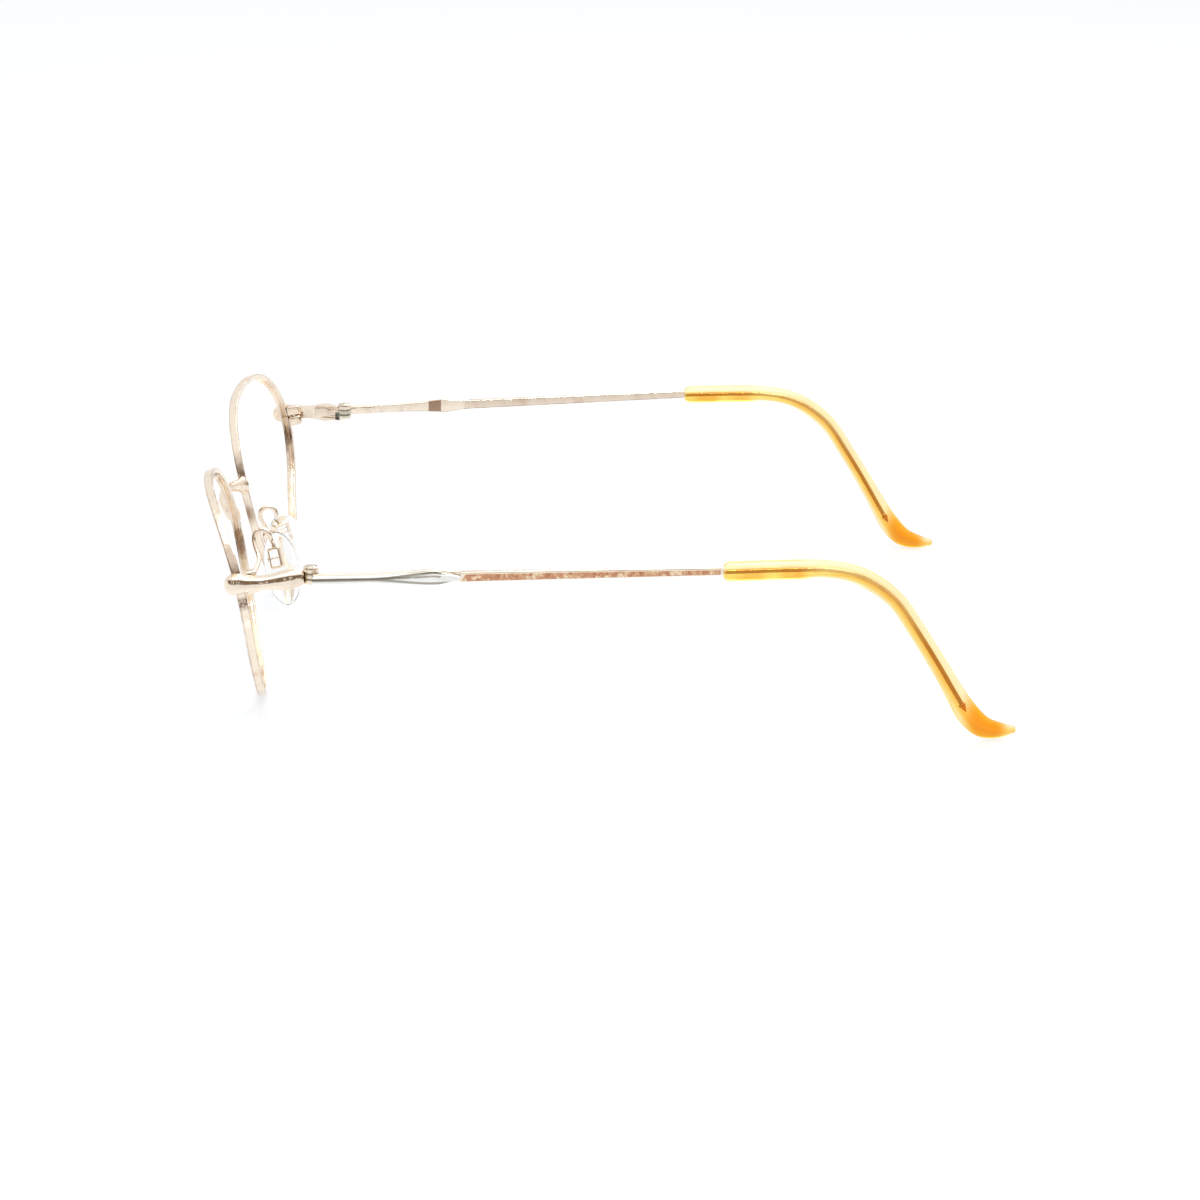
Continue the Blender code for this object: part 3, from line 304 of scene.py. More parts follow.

# Marks on the temples, as stretches from the fold axis, and up from it where so named
# Painted reflections: dark facets on the bar's inner side, and its inner side darker from the second
# stretch on
FACET_REFLECTION = (0.0174, 0.0200)
BAR_REFLECTION = (0.0246, 0.0250)
WIRE_BROWN = (TIP_START, TIP_START + 0.0006)
WIRE_BEND = (0.0860, 0.1045)
# Painted reflection: a dark line on the inner side along the hinge leaf
LEAF_REFLECTION = (-0.0066, -0.0026)
LEAF_REFLECTION_UP = (-0.0017, -0.0009)
# Painted shade: a black slot on the inner side beside the knuckle, where no slot is cut
SLOT_SHADE = (-0.0019, -0.0010)
SLOT_SHADE_UP = (0.0, -0.0003)
STEEL_UP = (0.0004, -0.0002)
HINGE_REACH = 0.0021
INNER_SIDE = (HINGE.x - 0.0002, HINGE.x - 0.0006)
WARM_PATCHES = ((0.0738, 0.0780), (0.0808, 0.0848))
TIP_STRAIGHT = (0.0845, 0.0875)
TIP_BEND = (0.0890, 0.0980)
TOE = (0.1148, 0.1212)

# Fixed colours of the finishes
KNUCKLE_GREY = (0.56, 0.53, 0.42)
# Black of the painted slot shade by the hinge
SHADE_BLACK = (0.03, 0.03, 0.02)
LEAF_STEEL = (0.36, 0.40, 0.33)
DULL_SILVER = (0.74, 0.72, 0.67)
SILVER_REFLECTION = (0.26, 0.24, 0.18)
VEIN_BROWN = (0.25, 0.09, 0.05)
# Pale of the painted highlight on the tips
HIGHLIGHT_PALE = (1.0, 1.0, 0.97)
TOE_CORE = (0.86, 0.27, 0.01)
AMBER_DEPTH = (0.99, 0.90, 0.30)
# Colour of the painted glow that the amber gives off for rays deep inside it
DEEP_BOUNCE_GLOW = (1.0, 0.80, 0.35)
DEEP_BOUNCES = 3.5
# The enamel's tones, from dark to light and on to ochre
MARBLE_STOPS = (
    (0.30, (0.36, 0.13, 0.05)),
    (0.44, (0.55, 0.24, 0.11)),
    (0.53, (0.66, 0.37, 0.20)),
    (0.60, (0.80, 0.58, 0.36)),
    (0.65, (0.90, 0.78, 0.58)),
    (0.72, (0.62, 0.40, 0.13)),
)

# The photograph's viewpoint, from the fold axis
CAMERA_PLACE = (0.6118, 0.03382, 0.19147)
CAMERA_TURN = (73.2151, -0.5943, 88.4993)
CAMERA_LENS = 99.486
CAMERA_SENSOR = 36.0

# Light: the round screen with its bright spots, and rows of name, place, size and share of power
SCREEN_RADIUS = 1.3
SCREEN_FOOT = 0.004
SCREEN_HEIGHT = 1.3
SCREEN_SIDES = 96
SCREEN_FADE = (-0.6, 0.4)
SCREEN_TOP = (0.26, 1.04)
TABLE_RAYS = (1.144, 0.988)
SPOT_TURNS = (-32.0, -9.0, 14.0, 38.0)
SPOT_HEIGHT = 0.2
SPOT_EDGE = (0.11, 0.06)
PALE_CLOTH = (0.93, 0.90, 0.86)
BROWN_CLOTH = (0.19, 0.13, 0.08)
TABLE_GLOW = 0.64
LAMPS = (
    ("overhead", (0.0, 0.1, 0.9), 0.9, 1.0),
    ("far_side", (-0.8, 0.2, 0.5), 0.5, 0.4),
    ("window", (0.5, 0.1, 0.9), 0.12, 0.5),
)


def between(low, high, share):
    """The value or place that lies this share of the way from the first to the second."""
    return low + (high - low) * share


def swelling(value, middle, reach):
    """1 at the middle, falling softly to 0 at the reach on both sides."""
    share = min(abs(value - middle) / reach, 1.0)
    return (1 - share) ** 2 * (1 + 2 * share)


def smooth_route(points, steps):
    """Points along a smooth curve through the given ones, with so many steps from each to the next."""
    points = [Vector(point) for point in points]
    ends = [points[0] * 2 - points[1], *points, points[-1] * 2 - points[-2]]
    route = []
    for before, start, end, after in zip(ends, ends[1:], ends[2:], ends[3:]):
        for step in range(steps):
            t = step / steps
            pull = (before * 2 - start * 5 + end * 4 - after) * t**2
            close = (start * 3 - before - end * 3 + after) * t**3
            route.append((start * 2 + (end - before) * t + pull + close) / 2)
    return [*route, points[-1].copy()]


class Field:
    """A socket whose values take part in arithmetic, each step of which adds its Math node."""

    def __init__(self, tree, socket):
        self.tree = tree
        self.socket = socket

    def maths(self, operation, first, second=None):
        """The result of the operation on one value or two."""
        node = self.tree.nodes.new("ShaderNodeMath")
        node.operation = operation
        for place, value in enumerate((first, second)):
            if isinstance(value, Field):
                self.tree.links.new(value.socket, node.inputs[place])
            elif value is not None:
                node.inputs[place].default_value = value
        return Field(self.tree, node.outputs[0])

    def __add__(self, other):
        return self.maths("ADD", self, other)

    def __sub__(self, other):
        return self.maths("SUBTRACT", self, other)

    def __rsub__(self, other):
        return self.maths("SUBTRACT", other, self)

    def __mul__(self, other):
        return self.maths("MULTIPLY", self, other)

    def __abs__(self):
        return self.maths("ABSOLUTE", self)

    def __gt__(self, other):
        return self.maths("GREATER_THAN", self, other)

    __radd__ = __add__
    __rmul__ = __mul__


class Graph:
    """A node tree under construction: its nodes are added by type, with settings before sockets."""

    def __init__(self, tree):
        self.tree = tree

    def node(self, kind, settings=None, output=0, **sockets):
        """Adds a node of that kind and gives one of its outputs."""
        made = self.tree.nodes.new(kind)
        for setting, value in (settings or {}).items():
            if setting == "stops":
                ramp = made.color_ramp
                while len(ramp.elements) < len(value):
                    ramp.elements.new(1.0)
                for stop, (position, colour) in zip(ramp.elements, value):
                    stop.position = position
                    stop.color = (*colour, 1.0)
            else:
                setattr(made, setting, value)
        for socket, value in sockets.items():
            self.feed(made.inputs, socket, value)
        return Field(self.tree, made.outputs[output])

    def feed(self, inputs, name, value):
        """Sets or links the socket of that name, or of that number after an i."""
        words = name.replace("_", " ")
        places = [socket for socket in inputs if socket.enabled and socket.name == words]
        target = places[0] if places else inputs[int(name.strip("i"))]
        if isinstance(value, Field):
            self.tree.links.new(value.socket, target)
        elif isinstance(value, (tuple, Color)) and target.type == "RGBA":
            target.default_value = (*value, 1.0)
        else:
            target.default_value = value

    def where_seen(self, seen, otherwise):
        """The first shader where it is seen straight, in metal or through clear pieces."""
        rays = [
            self.node("ShaderNodeLightPath", output=f"Is {kind} Ray")
            for kind in ("Camera", "Glossy", "Transmission")
        ]
        return self.node("ShaderNodeMixShader", i0=rays[0] + rays[1] + rays[2], i1=otherwise, i2=seen)


class Finish(Graph):
    """A material under construction, on the object's own coordinates."""

    def __init__(self, name):
        self.material = bpy.data.materials.new(name)
        self.material.use_nodes = True
        super().__init__(self.material.node_tree)
        self.shader = self.tree.nodes["Principled BSDF"]
        self.output = self.tree.nodes["Material Output"]
        self.place = self.node("ShaderNodeTexCoord", output="Object")

    def set(self, **sockets):
        for socket, value in sockets.items():
            self.feed(self.shader.inputs, socket, value)

    def stretched(self, scale):
        """The object's own coordinates, scaled per axis."""
        return self.node("ShaderNodeMapping", Vector=self.place, Scale=Vector(scale))

    def noise(self, scale, detail=3.0, stretch=(1.0, 1.0, 1.0), roughness=0.5, distortion=0.0):
        return self.node(
            "ShaderNodeTexNoise",
            Vector=self.stretched(stretch),
            Scale=scale,
            Detail=detail,
            Roughness=roughness,
            Distortion=distortion,
        )

    def level(self, factor, low, high):
        """0 below low and 1 above high, with a soft rise between."""
        return self.node(
            "ShaderNodeMapRange",
            {"interpolation_type": "SMOOTHSTEP", "clamp": True},
            Value=factor,
            From_Min=low,
            From_Max=high,
        )

    def stretch_between(self, factor, low, high, soft):
        """1 between low and high and 0 outside, with soft edges."""
        return self.level(factor, low - soft, low + soft) - self.level(factor, high - soft, high + soft)

    def blend(self, factor, first, second):
        """Two colours mixed by the factor."""
        settings = {"data_type": "RGBA"}
        return self.node("ShaderNodeMix", settings, output=2, i0=factor, i6=first, i7=second)

    def layered(self, base, layers):
        """The base colour under rows of how far the next colour covers it, and that colour."""
        for cover, colour in layers:
            base = self.blend(cover, base, colour)
        return base

    def axis(self, name):
        """One coordinate of the place on the object."""
        number = "XYZ".index(name)
        return self.node("ShaderNodeSeparateXYZ", output=number, Vector=self.place)

    def painted(self, name):
        """A value that the mesh holds at its corners, or 0 where it holds none."""
        return self.node("ShaderNodeAttribute", {"attribute_name": name}, output="Fac")

    def deep_inside(self):
        """1 for light that has been thrown about inside clear pieces and would end black."""
        return self.node("ShaderNodeLightPath", output="Ray Depth") > DEEP_BOUNCES

    def away_from(self, start, place):
        """How far the start is from the place."""
        settings = {"operation": "DISTANCE"}
        return self.node("ShaderNodeVectorMath", settings, output=1, i0=start, i1=Vector(place))

    def across(self):
        """How far a place is from the frame's middle plane."""
        folded = self.node("ShaderNodeVectorMath", {"operation": "ABSOLUTE"}, Vector=self.place)
        return self.node("ShaderNodeSeparateXYZ", output=0, Vector=folded)

    def near(self, place, reach):
        """1 at the place and 0 beyond its reach, on both halves of the frame."""
        point = self.node("ShaderNodeCombineXYZ", X=self.across(), Y=self.axis("Y"), Z=self.axis("Z"))
        return 1.0 - self.level(self.away_from(point, place), reach * 0.5, reach)

    def bump(self, height, distance, strength=1.0):
        return self.node("ShaderNodeBump", Height=height, Distance=distance, Strength=strength)


# Outlines and skins


def rounded(corners, steps=4):
    """A closed outline from rows of u, v and the radius that rounds that corner."""
    outline = []
    for before, (u, v, radius), after in zip(
        [corners[-1], *corners[:-1]], corners, [*corners[1:], corners[0]]
    ):
        corner = Vector((u, v))
        if not radius:
            outline.append(corner)
            continue
        back = (Vector(before[:2]) - corner).normalized()
        ahead = (Vector(after[:2]) - corner).normalized()
        reach = radius / math.tan(back.angle(ahead) / 2)
        for step in range(steps + 1):
            t = step / steps
            outline.append(
                (corner + back * reach) * (1 - t) ** 2
                + corner * (2 * t * (1 - t))
                + (corner + ahead * reach) * t**2
            )
    return outline


def block_outline(low, high, height, radius):
    """A rounded rectangle from low to high across, centred upright."""
    side = height / 2
    corners = ((high, -side), (high, side), (low, side), (low, -side))
    return rounded([(u, v, radius) for u, v in corners])


def oval(half_width, half_height, steps):
    """A closed oval outline."""
    turns = [2 * math.pi * i / steps for i in range(steps)]
    return [Vector((half_width * math.cos(turn), half_height * math.sin(turn))) for turn in turns]


def side_outline(profile, deep, high, groove=0.0):
    """A flat inner side and a rounded outer one from the profile's shares, with two flutes in it."""
    outline = []
    for u, v, _ in smooth_route([(u, v, 0.0) for u, v in profile], 4):
        sunk = groove * swelling(abs(v), FLUTE_PLACE, FLUTE_REACH)
        outline.append(Vector((deep * u - sunk, high / 2 * v)))
    return outline


def shrunk(ring, share, step):
    """The ring drawn in towards its middle and moved on, for a softened end."""
    middle = sum(ring, Vector()) / len(ring)
    return [middle + (point - middle) * share + step for point in ring]


def skin(shape, rings, closed=False, start=True, end=True):
    """Adds a skin over the rings to the bmesh, with flat caps unless it is closed."""
    rows = [[shape.verts.new(point) for point in ring] for ring in rings]
    pairs = list(zip(rows, rows[1:]))
    if closed:
        pairs.append((rows[-1], rows[0]))
    for first, second in pairs:
        for i in range(len(first)):
            shape.faces.new((first[i - 1], first[i], second[i], second[i - 1]))
    if start and not closed:
        shape.faces.new(rows[0])
    if end and not closed:
        shape.faces.new(rows[-1])


def soft_end(before, ring, inset):
    """Two smaller rings past the last one, for a small rounded edge before its cap."""
    step = (ring[0] - before[0]).normalized() * inset
    size = max((point - ring[0]).length for point in ring)
    share = 1 - 2 * inset / size
    middle = (1 + share) / 2 + (1 - share) * 0.2
    return [shrunk(ring, middle, step * 0.7), shrunk(ring, share, step)]


def soft_ends(rings, inset):
    """The rings with a small rounded edge before the cap at each end."""
    start = soft_end(rings[1], rings[0], inset)
    return [*start[::-1], *rings, *soft_end(rings[-2], rings[-1], inset)]


def paint(shape, name, values):
    """Stores a value at each corner of the bmesh, in the order in which the corners were made."""
    layer = shape.verts.layers.float.new(name)
    shape.verts.ensure_lookup_table()
    for vert, value in zip(shape.verts, values):
        vert[layer] = value


def turned(shape, profile, centre, turn, steps=40):
    """Adds a turned form: the profile's rows are radius and height along the turn matrix's own Z."""
    rings = []
    for radius, height in profile:
        ring = []
        for i in range(steps):
            angle = 2 * math.pi * i / steps
            flat = Vector((radius * math.cos(angle), radius * math.sin(angle), height))
            ring.append(centre + turn @ flat)
        rings.append(ring)
    skin(shape, rings)


def drum(radius, low, high, edge):
    """The profile of a short cylinder with rounded rims."""
    soft = edge * 0.3
    return [
        (radius - edge, low),
        (radius - soft, low + soft),
        (radius, low + edge),
        (radius, high - edge),
        (radius - soft, high - soft),
        (radius - edge, high),
    ]


def soft_block(shape, size, matrix, edge, segments=3):
    """Adds a block with rounded edges, placed by the matrix."""
    made = bmesh.ops.create_cube(shape, size=1.0)
    verts = made["verts"]
    bmesh.ops.scale(shape, vec=size, verts=verts)
    edges = list({line for vert in verts for line in vert.link_edges})
    made = bmesh.ops.bevel(
        shape, geom=edges, offset=edge, segments=segments, profile=0.5, affect="EDGES"
    )
    verts = {vert for face in made["faces"] for vert in face.verts} | {v for v in verts if v.is_valid}
    bmesh.ops.transform(shape, matrix=matrix, verts=list(verts))


def finished(name, shape, sharp=42.0):
    """The bmesh as a mesh that is smooth up to that angle in degrees."""
    bmesh.ops.recalc_face_normals(shape, faces=shape.faces)
    mesh = bpy.data.meshes.new(name)
    shape.to_mesh(mesh)
    shape.free()
    mesh.shade_smooth()
    mesh.set_sharp_from_angle(angle=math.radians(sharp))
    return mesh


def linked(name, data):
    """A new object of the scene that holds the data."""
    made = bpy.data.objects.new(name, data)
    bpy.context.scene.collection.objects.link(made)
    return made


def combined(mesh, others, operation, sharp):
    """The mesh after the operation with each of the others in turn."""
    body = linked("body", mesh)
    helpers = [linked("helper", other) for other in others]
    for helper in helpers:
        modifier = body.modifiers.new("combine", "BOOLEAN")
        modifier.object = helper
        modifier.operation = operation
        modifier.solver = "EXACT"
    bpy.context.view_layer.update()
    graph = bpy.context.evaluated_depsgraph_get()
    result = bpy.data.meshes.new_from_object(body.evaluated_get(graph), depsgraph=graph)
    for made in (body, *helpers):
        bpy.data.objects.remove(made)
    result.shade_smooth()
    result.set_sharp_from_angle(angle=math.radians(sharp))
    return result


def carved(mesh, cutters, sharp=42.0):
    """The mesh with the cutters' meshes taken away."""
    return combined(mesh, cutters, "DIFFERENCE", sharp)


def cylinder(radius, low, high, centre, turn=UPRIGHT, steps=48, sharp=42.0):
    """The mesh of a plain cylinder that carves a round seat."""
    shape = bmesh.new()
    turned(shape, [(radius, low), (radius, high)], centre, turn, steps)
    return finished("cylinder", shape, sharp)


def show(name, mesh, body, slot):
    """Puts the mesh in place of the model's node of that name, riding on its body."""
    piece = linked(name + "_dressed", mesh)
    mesh.materials.clear()
    mesh.materials.append(finish(slot))
    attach(piece, body)
    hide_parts(name)


def show_pair(kind, mesh, body, slot):
    """Shows the left piece and its mirror image, on the front or on the body of their own side."""
    other = mesh.copy()
    other.transform(Matrix.Scale(-1.0, 4, (1.0, 0.0, 0.0)))
    other.flip_normals()
    show("left_" + kind, mesh, body.replace("side", "left"), slot)
    show("right_" + kind, other, body.replace("side", "right"), slot)


# Where things are


def rim_wall(turn):
    """The rim's outer wall in the lens plane, from the temple side at 0 over the top."""
    swell = 1.0 + RIM_SWELL * math.sin(3 * (turn - RIM_SWELL_TURN)) + RIM_SLANT * math.sin(2 * turn)
    return Vector((RIM_HALF_WIDTH * math.cos(turn), RIM_HALF_HEIGHT * math.sin(turn))) * swell


def rim_outline(angle, outward=0.0):
    """A place that lies so far out from the rim's outer wall."""
    step = math.radians(0.5)
    along = (rim_wall(angle + step) - rim_wall(angle - step)).normalized()
    return rim_wall(angle) + Vector((along.y, -along.x)) * outward


def lens_point(flat, depth):
    """The flat place laid on the curve of the lens, and so far behind it."""
    bow = flat.x**2 / (2 * LENS_CURVE_ACROSS) + flat.y**2 / (2 * LENS_CURVE_UPRIGHT)
    return Vector((flat.x, flat.y, -bow - depth))


def lens_matrix():
    """The left lens's frame, set so that the rim fills the box of the model's own rim."""
    turn = Euler((math.pi / 2 + FACE_TILT, 0.0, FACE_WRAP)).to_matrix()
    turns = [math.radians(i) for i in range(360)]
    edges = [turn @ lens_point(rim_outline(a), d) for a in turns for d in (0.0, RIM_DEPTH)]
    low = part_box("left_rim")[0]
    centre = low - Vector([min(edge[i] for edge in edges) for i in range(3)])
    return Matrix.Translation(centre) @ turn.to_4x4()


LENS = lens_matrix()


def rim_place(angle, depth=0.0, outward=0.0):
    """The place on the left rim, behind its front edge and out from its outer wall."""
    return LENS @ lens_point(rim_outline(angle, outward), depth)


def fold_point(x, y, z):
    """A place given from the fold axis and the table."""
    return Vector((x, HINGE.y + y, z))


def widest_rim(height):
    """How far out the left rim's temple side reaches at this height."""
    near = [rim_place(math.radians(i), RIM_DEPTH / 2) for i in range(-30, 50)]
    return max(place.x for place in near if abs(place.z - height) < BULB_RADIUS)


END_FRONT_X = widest_rim(BULB_Z) + SEAT


def end_inner(y):
    """The flat inner face of the end piece: straight past the rim lock, then in towards the hinge."""
    share = (y - END_BEND_Y) / (END[0] - END_BEND_Y)
    eased = (share + math.sqrt(share**2 + 0.01)) / 2
    return between(END_FRONT_X, HINGE.x - END_INSET, eased)


def temple_place(y):
    """The temple's flat inner face at half height."""
    share = (y - TEMPLE_START) / (TIP_START - TEMPLE_START)
    start = Vector((HINGE.x + TEMPLE_INSET, HINGE.y + TEMPLE_START, TEMPLE_START_Z))
    end = Vector((HINGE.x + TIP_START_X - BAR_END_THICKNESS / 2, HINGE.y + TIP_START, TIP_START_Z))
    return between(start, end, share)


def past_overlay(y):
    """The share of the way from the overlay's end to the tip."""
    return (y - OVERLAY_END) / (TIP_START - OVERLAY_END)


def bar_outer(y):
    """How far the bar's outer face stands from its inner one behind the overlay."""
    return between(BAR_THICKNESS, BAR_END_THICKNESS, past_overlay(y))


def bar_height(y):
    """The bar's height: even at first, then up to the flare and down again."""
    if y <= FLARE_FOOT:
        return BAR_HEIGHT
    if y <= FLARE_Y:
        return between(BAR_HEIGHT, FLARE_HEIGHT, ((y - FLARE_FOOT) / (FLARE_Y - FLARE_FOOT)) ** 1.7)
    if y <= OVERLAY_END:
        share = (y - FLARE_Y) / (OVERLAY_END - FLARE_Y)
        return between(FLARE_HEIGHT, BAR_MIDDLE_HEIGHT, math.sin(share * math.pi / 2) ** 1.5)
    return between(BAR_MIDDLE_HEIGHT, BAR_END_HEIGHT, past_overlay(y))


def tip_rows():
    """The tip's middle line, with its height and thickness."""
    reach = TIP_LINE[-1][0] - TIP_START
    rows = []
    for y, z, high, thick in TIP_LINE:
        inward = TOE_INWARD * ((y - TIP_START) / reach) ** 2
        rows.append((HINGE.x + TIP_START_X - inward, HINGE.y + y, z, high, thick))
    return rows


def across_line(centre, along, outline):
    """The outline set square to the direction: first outward, then up."""
    along = along.normalized()
    out = along.cross(UP).normalized()
    up = out.cross(along)
    return [centre + out * point[0] + up * point[1] for point in outline]


def pad_turn():
    """The turn of the left pad and its box, whose own X points away from the nose."""
    lean = Matrix.Rotation(FACE_TILT, 3, "X")
    frontal = Matrix.Rotation(-PAD_FRONTAL, 3, "Y")
    splay = Matrix.Rotation(-PAD_SPLAY, 3, "Z")
    return lean @ frontal @ splay


# Finishes


def gold_finish():
    """Polished peach gold plating with dull clouds, solder marks and browned wire inside the tips, and
    painted reflections: dark lines and patches on the rims and bars and a dark line by the hinge leaf,
    with a black slot of painted shade beside the knuckle.
    """
    look = bpy.context.scene.frame_finish
    made = Finish("peach_gold")
    cloud = made.noise(260.0, 4.0)
    blotch = made.noise(420.0, 3.0, stretch=(1.0, 1.0, 0.5))
    fine = made.noise(1500.0, 3.0, roughness=0.6)
    scratches = made.noise(3000.0, 2.0, stretch=(1.0, 0.12, 1.0))
    along = made.axis("Y") - HINGE.y
    upright = made.axis("Z") - HINGE.z
    inside = made.level(made.across(), *INNER_SIDE)
    hinge = made.near(HINGE, HINGE_REACH)
    dull = made.level(cloud, 0.50, 0.72)
    stain = dull * 0.35 + made.level(blotch, 0.52, 0.70) * 0.3
    # Painted reflection: the dark lines and patches that the rims and bars carry, broken up by blotches
    tarnish = made.painted("tarnish") * (made.level(blotch, 0.36, 0.60) * 0.65 + 0.45)
    burnt = made.painted("solder") * made.level(fine, 0.25, 0.62)
    # Painted reflection: dark facets on the bar's inner side
    facet_reflection = made.stretch_between(along, *FACET_REFLECTION, 0.0001) * 1.3 + made.level(along, *BAR_REFLECTION) * 0.3
    facet_reflection *= made.painted("inner")
    # Painted reflection: a dark line on the inner side along the hinge leaf
    leaf_reflection = made.stretch_between(along, *LEAF_REFLECTION, 0.0006)
    leaf_reflection *= made.stretch_between(upright, *LEAF_REFLECTION_UP, 0.0002)
    # Painted shade: a black slot beside the knuckle
    slot = made.stretch_between(along, *SLOT_SHADE, 0.0001) * made.level(upright, *SLOT_SHADE_UP)
    steel = hinge * made.level(upright, *STEEL_UP)
    wire = made.level(along, *WIRE_BROWN)
    wire *= 1.0 - made.stretch_between(along, *WIRE_BEND, 0.0035) * 0.6
    layers = (
        (stain, look.stain),
        (tarnish + facet_reflection * 0.8, look.tarnish),
        (hinge * 0.5, KNUCKLE_GREY),
        (inside * leaf_reflection * 0.7, look.tarnish),
        (inside * slot * 0.9, SHADE_BLACK),
        (inside * steel * 0.8, LEAF_STEEL),
        (burnt * 0.75, look.solder),
        (wire, look.wire),
    )
    made.set(
        Base_Color=made.layered(look.gold, layers),
        Metallic=1.0,
        Roughness=look.polish + dull * 0.06 + burnt * 0.25 + made.level(scratches, 0.6, 0.8) * 0.06,
        Normal=made.bump(blotch + scratches * 0.02 + fine * 0.012 + burnt * 0.06, 0.0004, 0.4),
    )
    return made.material


def silver_finish():
    """Bright silver with a hair-fine polish, and a painted reflection: a dark line along it that parts
    over the flare.
    """
    look = bpy.context.scene.frame_finish
    made = Finish("bright_silver")
    grain = made.noise(9000.0, 2.0, stretch=(1.0, 0.03, 1.0))
    cloud = made.noise(500.0, 3.0)
    along = made.axis("Y") - HINGE.y
    rise = (TIP_START_Z - TEMPLE_START_Z) / (TIP_START - TEMPLE_START)
    height = made.axis("Z") - (TEMPLE_START_Z - OVERLAY_DROP) - (along - TEMPLE_START) * rise
    off = abs(height - SHADE_PLACE) - made.level(along, FLARE_FOOT, FLARE_Y) * SHADE_SPREAD
    layers = (
        (made.level(cloud, 0.4, 0.7) * 0.5, DULL_SILVER),
        # Painted reflection: the dark line along the overlay
        (made.level(abs(off), *SHADE_WIDTH) * 0.85, SILVER_REFLECTION),
    )
    made.set(
        Base_Color=made.layered(look.silver, layers),
        Metallic=1.0,
        Roughness=0.09 + grain * 0.10,
        Normal=made.bump(grain, 0.000006, 0.4),
    )
    return made.material


def steel_finish():
    """Plain screw steel with a fine cloudy grain."""
    made = Finish("screw_steel")
    grain = made.noise(6000.0, 2.0)
    made.set(
        Base_Color=made.blend(grain, (0.86, 0.84, 0.76), (0.62, 0.60, 0.52)),
        Metallic=1.0,
        Roughness=0.22 + grain * 0.15,
        Normal=made.bump(grain, 0.00001, 0.4),
    )
    return made.material


def marble_finish():
    """Mottled terracotta enamel with cream and ochre patches and thin dark veins."""
    made = Finish("marbled_enamel")
    warp = made.noise(700.0, 3.0, stretch=(1.0, 0.55, 1.0), distortion=1.2)
    patches = made.node(
        "ShaderNodeTexVoronoi",
        {"feature": "SMOOTH_F1"},
        output="Color",
        Vector=made.stretched((1.0, 0.8, 1.0)),
        Scale=1500.0,
        Smoothness=0.5,
    )
    shade = made.node("ShaderNodeSeparateColor", Color=patches)
    streak = made.noise(5200.0, 3.0, stretch=(1.0, 1.0, 0.35))
    tone = shade * 0.22 + warp * 0.36 + streak * 0.42
    colour = made.node("ShaderNodeValToRGB", {"stops": MARBLE_STOPS}, Fac=tone)
    vein = made.noise(2200.0, 4.0, stretch=(1.0, 0.6, 1.0), distortion=2.0)
    line = made.level(vein, 0.47, 0.5) * (1.0 - made.level(vein, 0.5, 0.53))
    made.set(
        Base_Color=made.blend(line * 0.7, colour, VEIN_BROWN),
        Roughness=0.22 + line * 0.2,
        Normal=made.bump(warp + line * -0.5, 0.00004, 0.4),
        Coat_Weight=0.5,
        Coat_Roughness=0.08,
    )
    return made.material


def amber_finish():
    """Clear amber plastic, deeper where it is thick, with orange clouds, a painted highlight on its top
    side and lower edge, a deep toe, and a painted glow for light deep inside it.
    """
    look = bpy.context.scene.frame_finish
    made = Finish("amber_plastic")
    along = made.axis("Y") - HINGE.y
    crown = made.painted("crown")
    off = crown * crown
    cloud = made.noise(220.0, 2.0, stretch=(1.0, 0.6, 1.0), distortion=0.8)
    fine = made.noise(900.0, 3.0)
    streak = made.noise(700.0, 2.0, stretch=(1.0, 0.15, 1.0))
    toe = made.stretch_between(along, *TOE, 0.0016)
    patches = made.stretch_between(along, *WARM_PATCHES[0], 0.0013)
    patches += made.stretch_between(along, *WARM_PATCHES[1], 0.0013)
    warm = patches * made.level(crown, 0.75, -0.25) * 0.5 + made.level(cloud, 0.46, 0.62) * 0.3
    past_start = made.level(along, *TIP_STRAIGHT)
    bent = made.level(along, *TIP_BEND)
    # Painted highlight: the tip's top side paler, and its lower edge past the straight part
    painted_highlight = made.level(crown, -0.2, 0.55) + made.level(crown, -0.35, -0.9) * past_start
    layers = (
        (warm, look.orange),
        (made.level(off, 0.6, 0.05) * bent * 0.5, look.orange),
        (painted_highlight * (1.0 - toe) * (0.9 - bent * 0.25), HIGHLIGHT_PALE),
        (toe * (1.0 - made.level(off, 0.45, 1.0) * 0.45), look.orange),
        (toe * made.level(off, 0.5, 0.0) * 0.7, TOE_CORE),
    )
    made.set(
        Base_Color=made.layered(look.amber, layers),
        Roughness=0.10 + fine * 0.08,
        IOR=1.28,
        Transmission_Weight=1.0,
        # Painted glow: for rays deep inside the clear pieces the amber shines instead of ending black
        Emission_Color=made.blend(made.deep_inside(), (0.0, 0.0, 0.0), DEEP_BOUNCE_GLOW),
        Emission_Strength=0.4,
        Normal=made.bump(fine * 0.4 + streak, 0.00003, 0.35),
    )
    depth = made.node("ShaderNodeVolumeAbsorption", Color=AMBER_DEPTH, Density=look.amber_depth)
    made.feed(made.output.inputs, "Volume", depth)
    return made.material


def clear_finish():
    """Soft clear plastic with a breath of haze."""
    made = Finish("clear_plastic")
    fine = made.noise(700.0, 3.0)
    made.set(
        Base_Color=made.blend(fine, (0.995, 0.995, 0.99), (0.965, 0.965, 0.955)),
        Roughness=0.02 + fine * 0.05,
        IOR=1.25,
        Transmission_Weight=1.0,
        Normal=made.bump(fine, 0.00002, 0.1),
    )
    return made.material


FINISH_MAKERS = {
    "gold": gold_finish,
    "silver": silver_finish,
    "steel": steel_finish,
    "marble": marble_finish,
    "amber": amber_finish,
    "clear": clear_finish,
}
FINISHES = {}


def finish(slot):
    """The slot's material, made when it is first asked for."""
    if slot not in FINISHES:
        FINISHES[slot] = FINISH_MAKERS[slot]()
    return FINISHES[slot]


# Front


